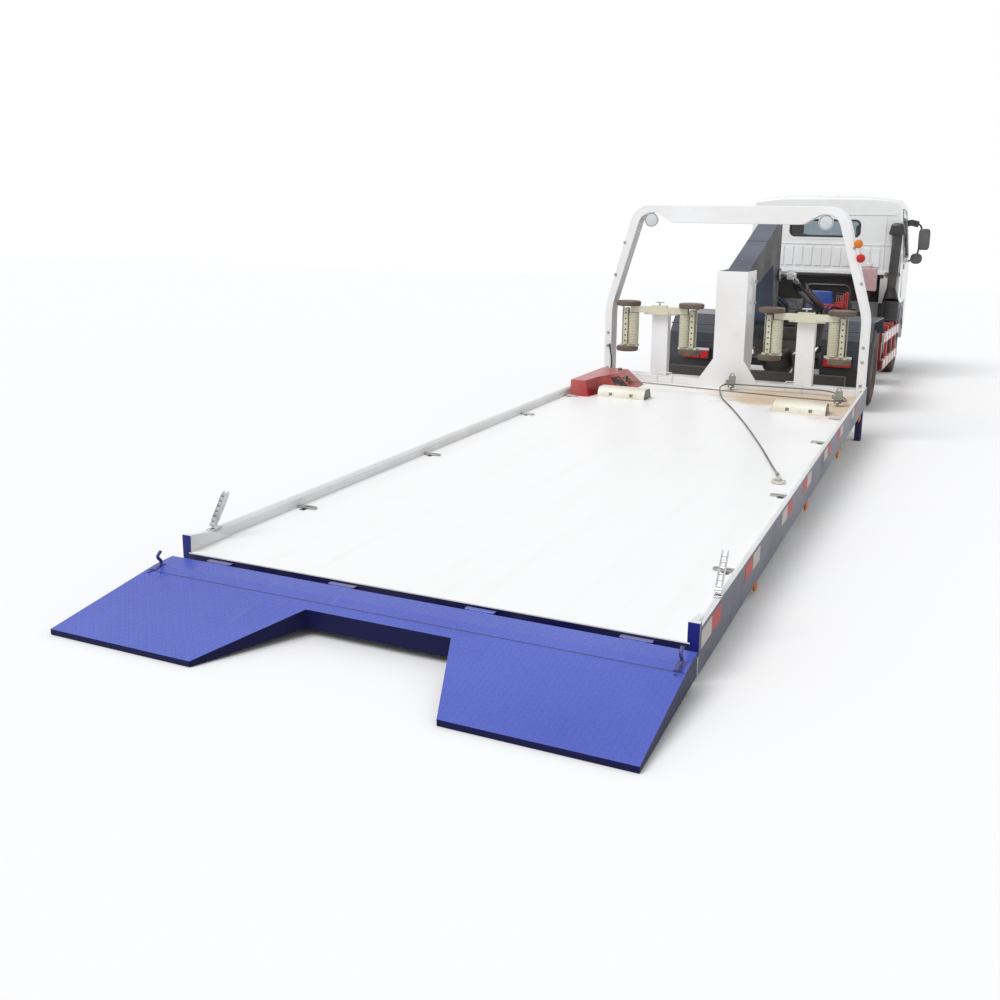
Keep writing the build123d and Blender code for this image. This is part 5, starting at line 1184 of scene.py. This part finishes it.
# Front of the cab: slatted grille, lamps with round reflectors behind clear covers, wipers, and a
# white bumper with a black intake and a bare plate.
softened("grille", 0.004, flap_rubber)
softened("front_lamps", 0.006, clear_lens)
skinned("lamp_reflectors", [turned([(tip, 0.0), (0.030, 0.002), (0.062, 0.012), (0.070, 0.016),
    (0.070, 0.0), (tip, -0.004)], (side * x, 12.722, 0.81), (0, 1, 0), 32) for side in (-1, 1)
    for x in (0.665, 0.795)], chrome, "front_lamps")
softened("front_bumper", 0.014, cab_paint, 3)
slabs("bumper_intake", [((-0.42, 12.745, 0.470), (0.42, 12.7502, 0.540))], flap_rubber, "front_bumper", 0.002)
slabs("blank_front_plate", [((-0.22, 12.748, 0.555), (0.22, 12.7502, 0.625))],
    enamel("plate_white", (0.75, 0.75, 0.75)), "front_bumper", 0.002)
wipers = [swept([(x, 12.66, 1.575), (x + 0.10, 12.648, 1.66), (x + 0.30, 12.60, 1.80)], 0.009, 0.006)
    for x in (-0.55, 0.25)]
skinned("wipers", wipers, flap_rubber, "cab_shell")

# Cab interior: two padded seats in dark cloth with tan head rests, and a dashboard with air vents
# and a gloss panel, which carries the steering wheel and its column.


def seat_cloth(name, colour):
    """Woven cloth: fine crossed threads 3 mm apart under a faint blotchy wear."""
    material, shader, place = new_finish(name)
    turn_per_metre = 2094.0
    waves = [combined("SINE", times(axis_of(place, axis), turn_per_metre)) for axis in "XYZ"]
    threads = larger(larger(waves[0], waves[1]), waves[2])
    worn = clouds(place, 0.12, 0.3, 0.75, 5)
    give(shader, {"Base Color": blended(worn, colour, tuple(part * 1.5 for part in colour)),
        "Roughness": 0.9, "Sheen Weight": 0.3})
    raised(shader, threads, 0.0006, 0.5)
    return material


def cushion(name, base, top, half_x, half_y, lean, cloth):
    """A stuffed pad from a base height to a top height, squarish in plan and rounded over at both
    ends, whose rings shift back as they rise by the lean."""
    share = np.linspace(0, 1, 22)
    swell = (1 - np.abs(2 * share - 1) ** 5) ** 0.32
    swell = np.maximum(swell, 0.03)
    path = np.stack((np.full(22, base[0]), base[1] + lean * share, base[2] + (top - base[2]) * share), -1)
    grid = swept(path, half_x * swell, half_y * (0.35 + 0.65 * swell), 32, (0, 1, 0), 4.5)
    piece = skinned(name, [grid], cloth, "seats")
    return piece


cloth = seat_cloth("seat_cloth", (0.035, 0.037, 0.045))
tan_cloth = seat_cloth("tan_cloth", (0.42, 0.27, 0.14))
seat_bases = slabs("seat_bases", [((x - 0.18, 11.35, 1.022), (x + 0.18, 11.75, 1.125))
    for x in (-0.48, 0.48)], flap_rubber, "seats", 0.01)
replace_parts(seat_bases, "seats")
for name, x in (("left", -0.48), ("right", 0.48)):
    cushion("seat_pad_" + name, (x, 11.57, 1.125), 1.290, 0.25, 0.25, 0, cloth)
    cushion("seat_back_" + name, (x, 11.395, 1.285), 1.900, 0.23, 0.065, -0.085, cloth)
    cushion("head_rest_" + name, (x, 11.300, 1.870), 2.020, 0.13, 0.050, -0.01, tan_cloth)
dash_plastic = enamel("dash_plastic", (0.05, 0.05, 0.055), dust=(0.14, 0.12, 0.10), soiled=0.3,
    rough=(0.5, 0.7))
softened("dashboard", 0.008, dash_plastic)
slabs("dashboard_vents", [((x - 0.07, 12.322, 1.40), (x + 0.07, 12.331, 1.45))
    for x in (-0.78, -0.12, 0.12, 0.78)] + [((-0.60, 12.338, 1.475), (-0.36, 12.350, 1.53))], gloss_black,
    "dashboard", 0.003)

# Mirrors: black arms on the cab's sides that carry a tall mirror, a round wide-angle mirror below it
# and a hooded bracket above.
mirror_black = enamel("mirror_black", (0.012, 0.012, 0.014), soiled=0.2, rough=(0.3, 0.5))
arms, housings, faces = [], [], []
for side in (-1, 1):
    arms.append(swept(bent([(side * 0.945, 12.30, 2.075), (side * 1.06, 12.36, 2.09),
        (side * 1.135, 12.38, 2.05), (side * 1.145, 12.38, 1.90), (side * 1.10, 12.38, 1.58),
        (side * 0.985, 12.35, 1.545)], 0.05), 0.013, across=(0, 1, 0)))
    arms.append(swept([(side * 0.955, 12.30, 2.08), (side * 1.00, 12.32, 2.09), (side * 1.09, 12.36, 2.07)],
                      0.045, 0.022, 14, (0, 1, 0), 3))
    for x, z, wide, high, squareness in ((1.185, 1.86, 0.078, 0.150, 5), (1.100, 1.585, 0.080, 0.075, 2.4)):
        depth = np.linspace(0, 1, 9)
        size = np.interp(depth, (0, 0.12, 0.5, 1), (0.93, 1.0, 0.97, 0.55))
        path = [(side * x, 12.352 + 0.062 * share, z) for share in depth]
        housings.append(swept(path, wide * size, high * size, 30, (0, 0, 1), squareness))
        path = [(side * x, 12.3535 - 0.003 * share, z) for share in (0, 0.5, 1)]
        faces.append(swept(path, wide * 0.86, high * 0.90, 30, (0, 0, 1), squareness))
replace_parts(skinned("mirror_housings", housings, mirror_black, "mirrors"), "mirrors")
skinned("mirror_arms", arms, mirror_black, "mirrors")
# The mirror faces are dark grey enamel: a painted reflection.
skinned("mirror_faces", faces, enamel("mirror_painted_reflection", (0.075, 0.08, 0.085), soiled=0.3,
    rough=(0.08, 0.3)), "mirrors")

# Snorkel: a black intake behind the cab's right corner, with a hooded cap, a flat tube that leans
# inwards as it goes down, two bolted ears and a ribbed boot over the air cleaner.
tube = swept([(0.936, 10.742, 1.92), (0.932, 10.742, 1.70), (0.922, 10.742, 1.45), (0.912, 10.742, 1.20),
              (0.910, 10.735, 1.14)], (0.062, 0.062, 0.060, 0.056, 0.054), 0.048, 28, (0, 1, 0), 4)
cap_high = np.linspace(0, 1, 9)
cap = swept([(0.928, 10.733, 1.868 + 0.150 * share) for share in cap_high],
    np.interp(cap_high, (0, 0.1, 0.75, 0.95, 1), (0.100, 0.102, 0.082, 0.070, 0.045)),
    np.interp(cap_high, (0, 0.1, 0.75, 0.95, 1), (0.058, 0.060, 0.056, 0.048, 0.030)), 28, (0, 1, 0), 4)
boot_high = np.linspace(0, 1, 31)
boot = swept([(0.912 + 0.012 * share, 10.735 - 0.075 * share, 1.16 - 0.15 * share) for share in boot_high],
             0.058 + 0.040 * boot_high + 0.005 * np.cos(boot_high * 10 * np.pi * 2), None, 32, (0, 1, 0), 2.6)
snorkel = skinned("snorkel_tube", [tube, cap, boot], mirror_black, "snorkel")
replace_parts(snorkel, "snorkel")
ears = []
for x in (0.835, 0.985):
    ears.append(collar(0.012, 0.024, 0, 0.012, (x, 10.775, 1.36), (0, 1, 0), 24))
    ears.append(swept([(x, 10.783, 1.36), (0.91, 10.772, 1.36)], 0.012, 0.004, 10, (0, 1, 0), 4))
skinned("snorkel_ears", ears, mirror_black, "snorkel")
bolt_heads("snorkel_bolts", [(0.835, 10.772, 1.36), (0.985, 10.772, 1.36)], (0, -1, 0), 0.009, "snorkel")
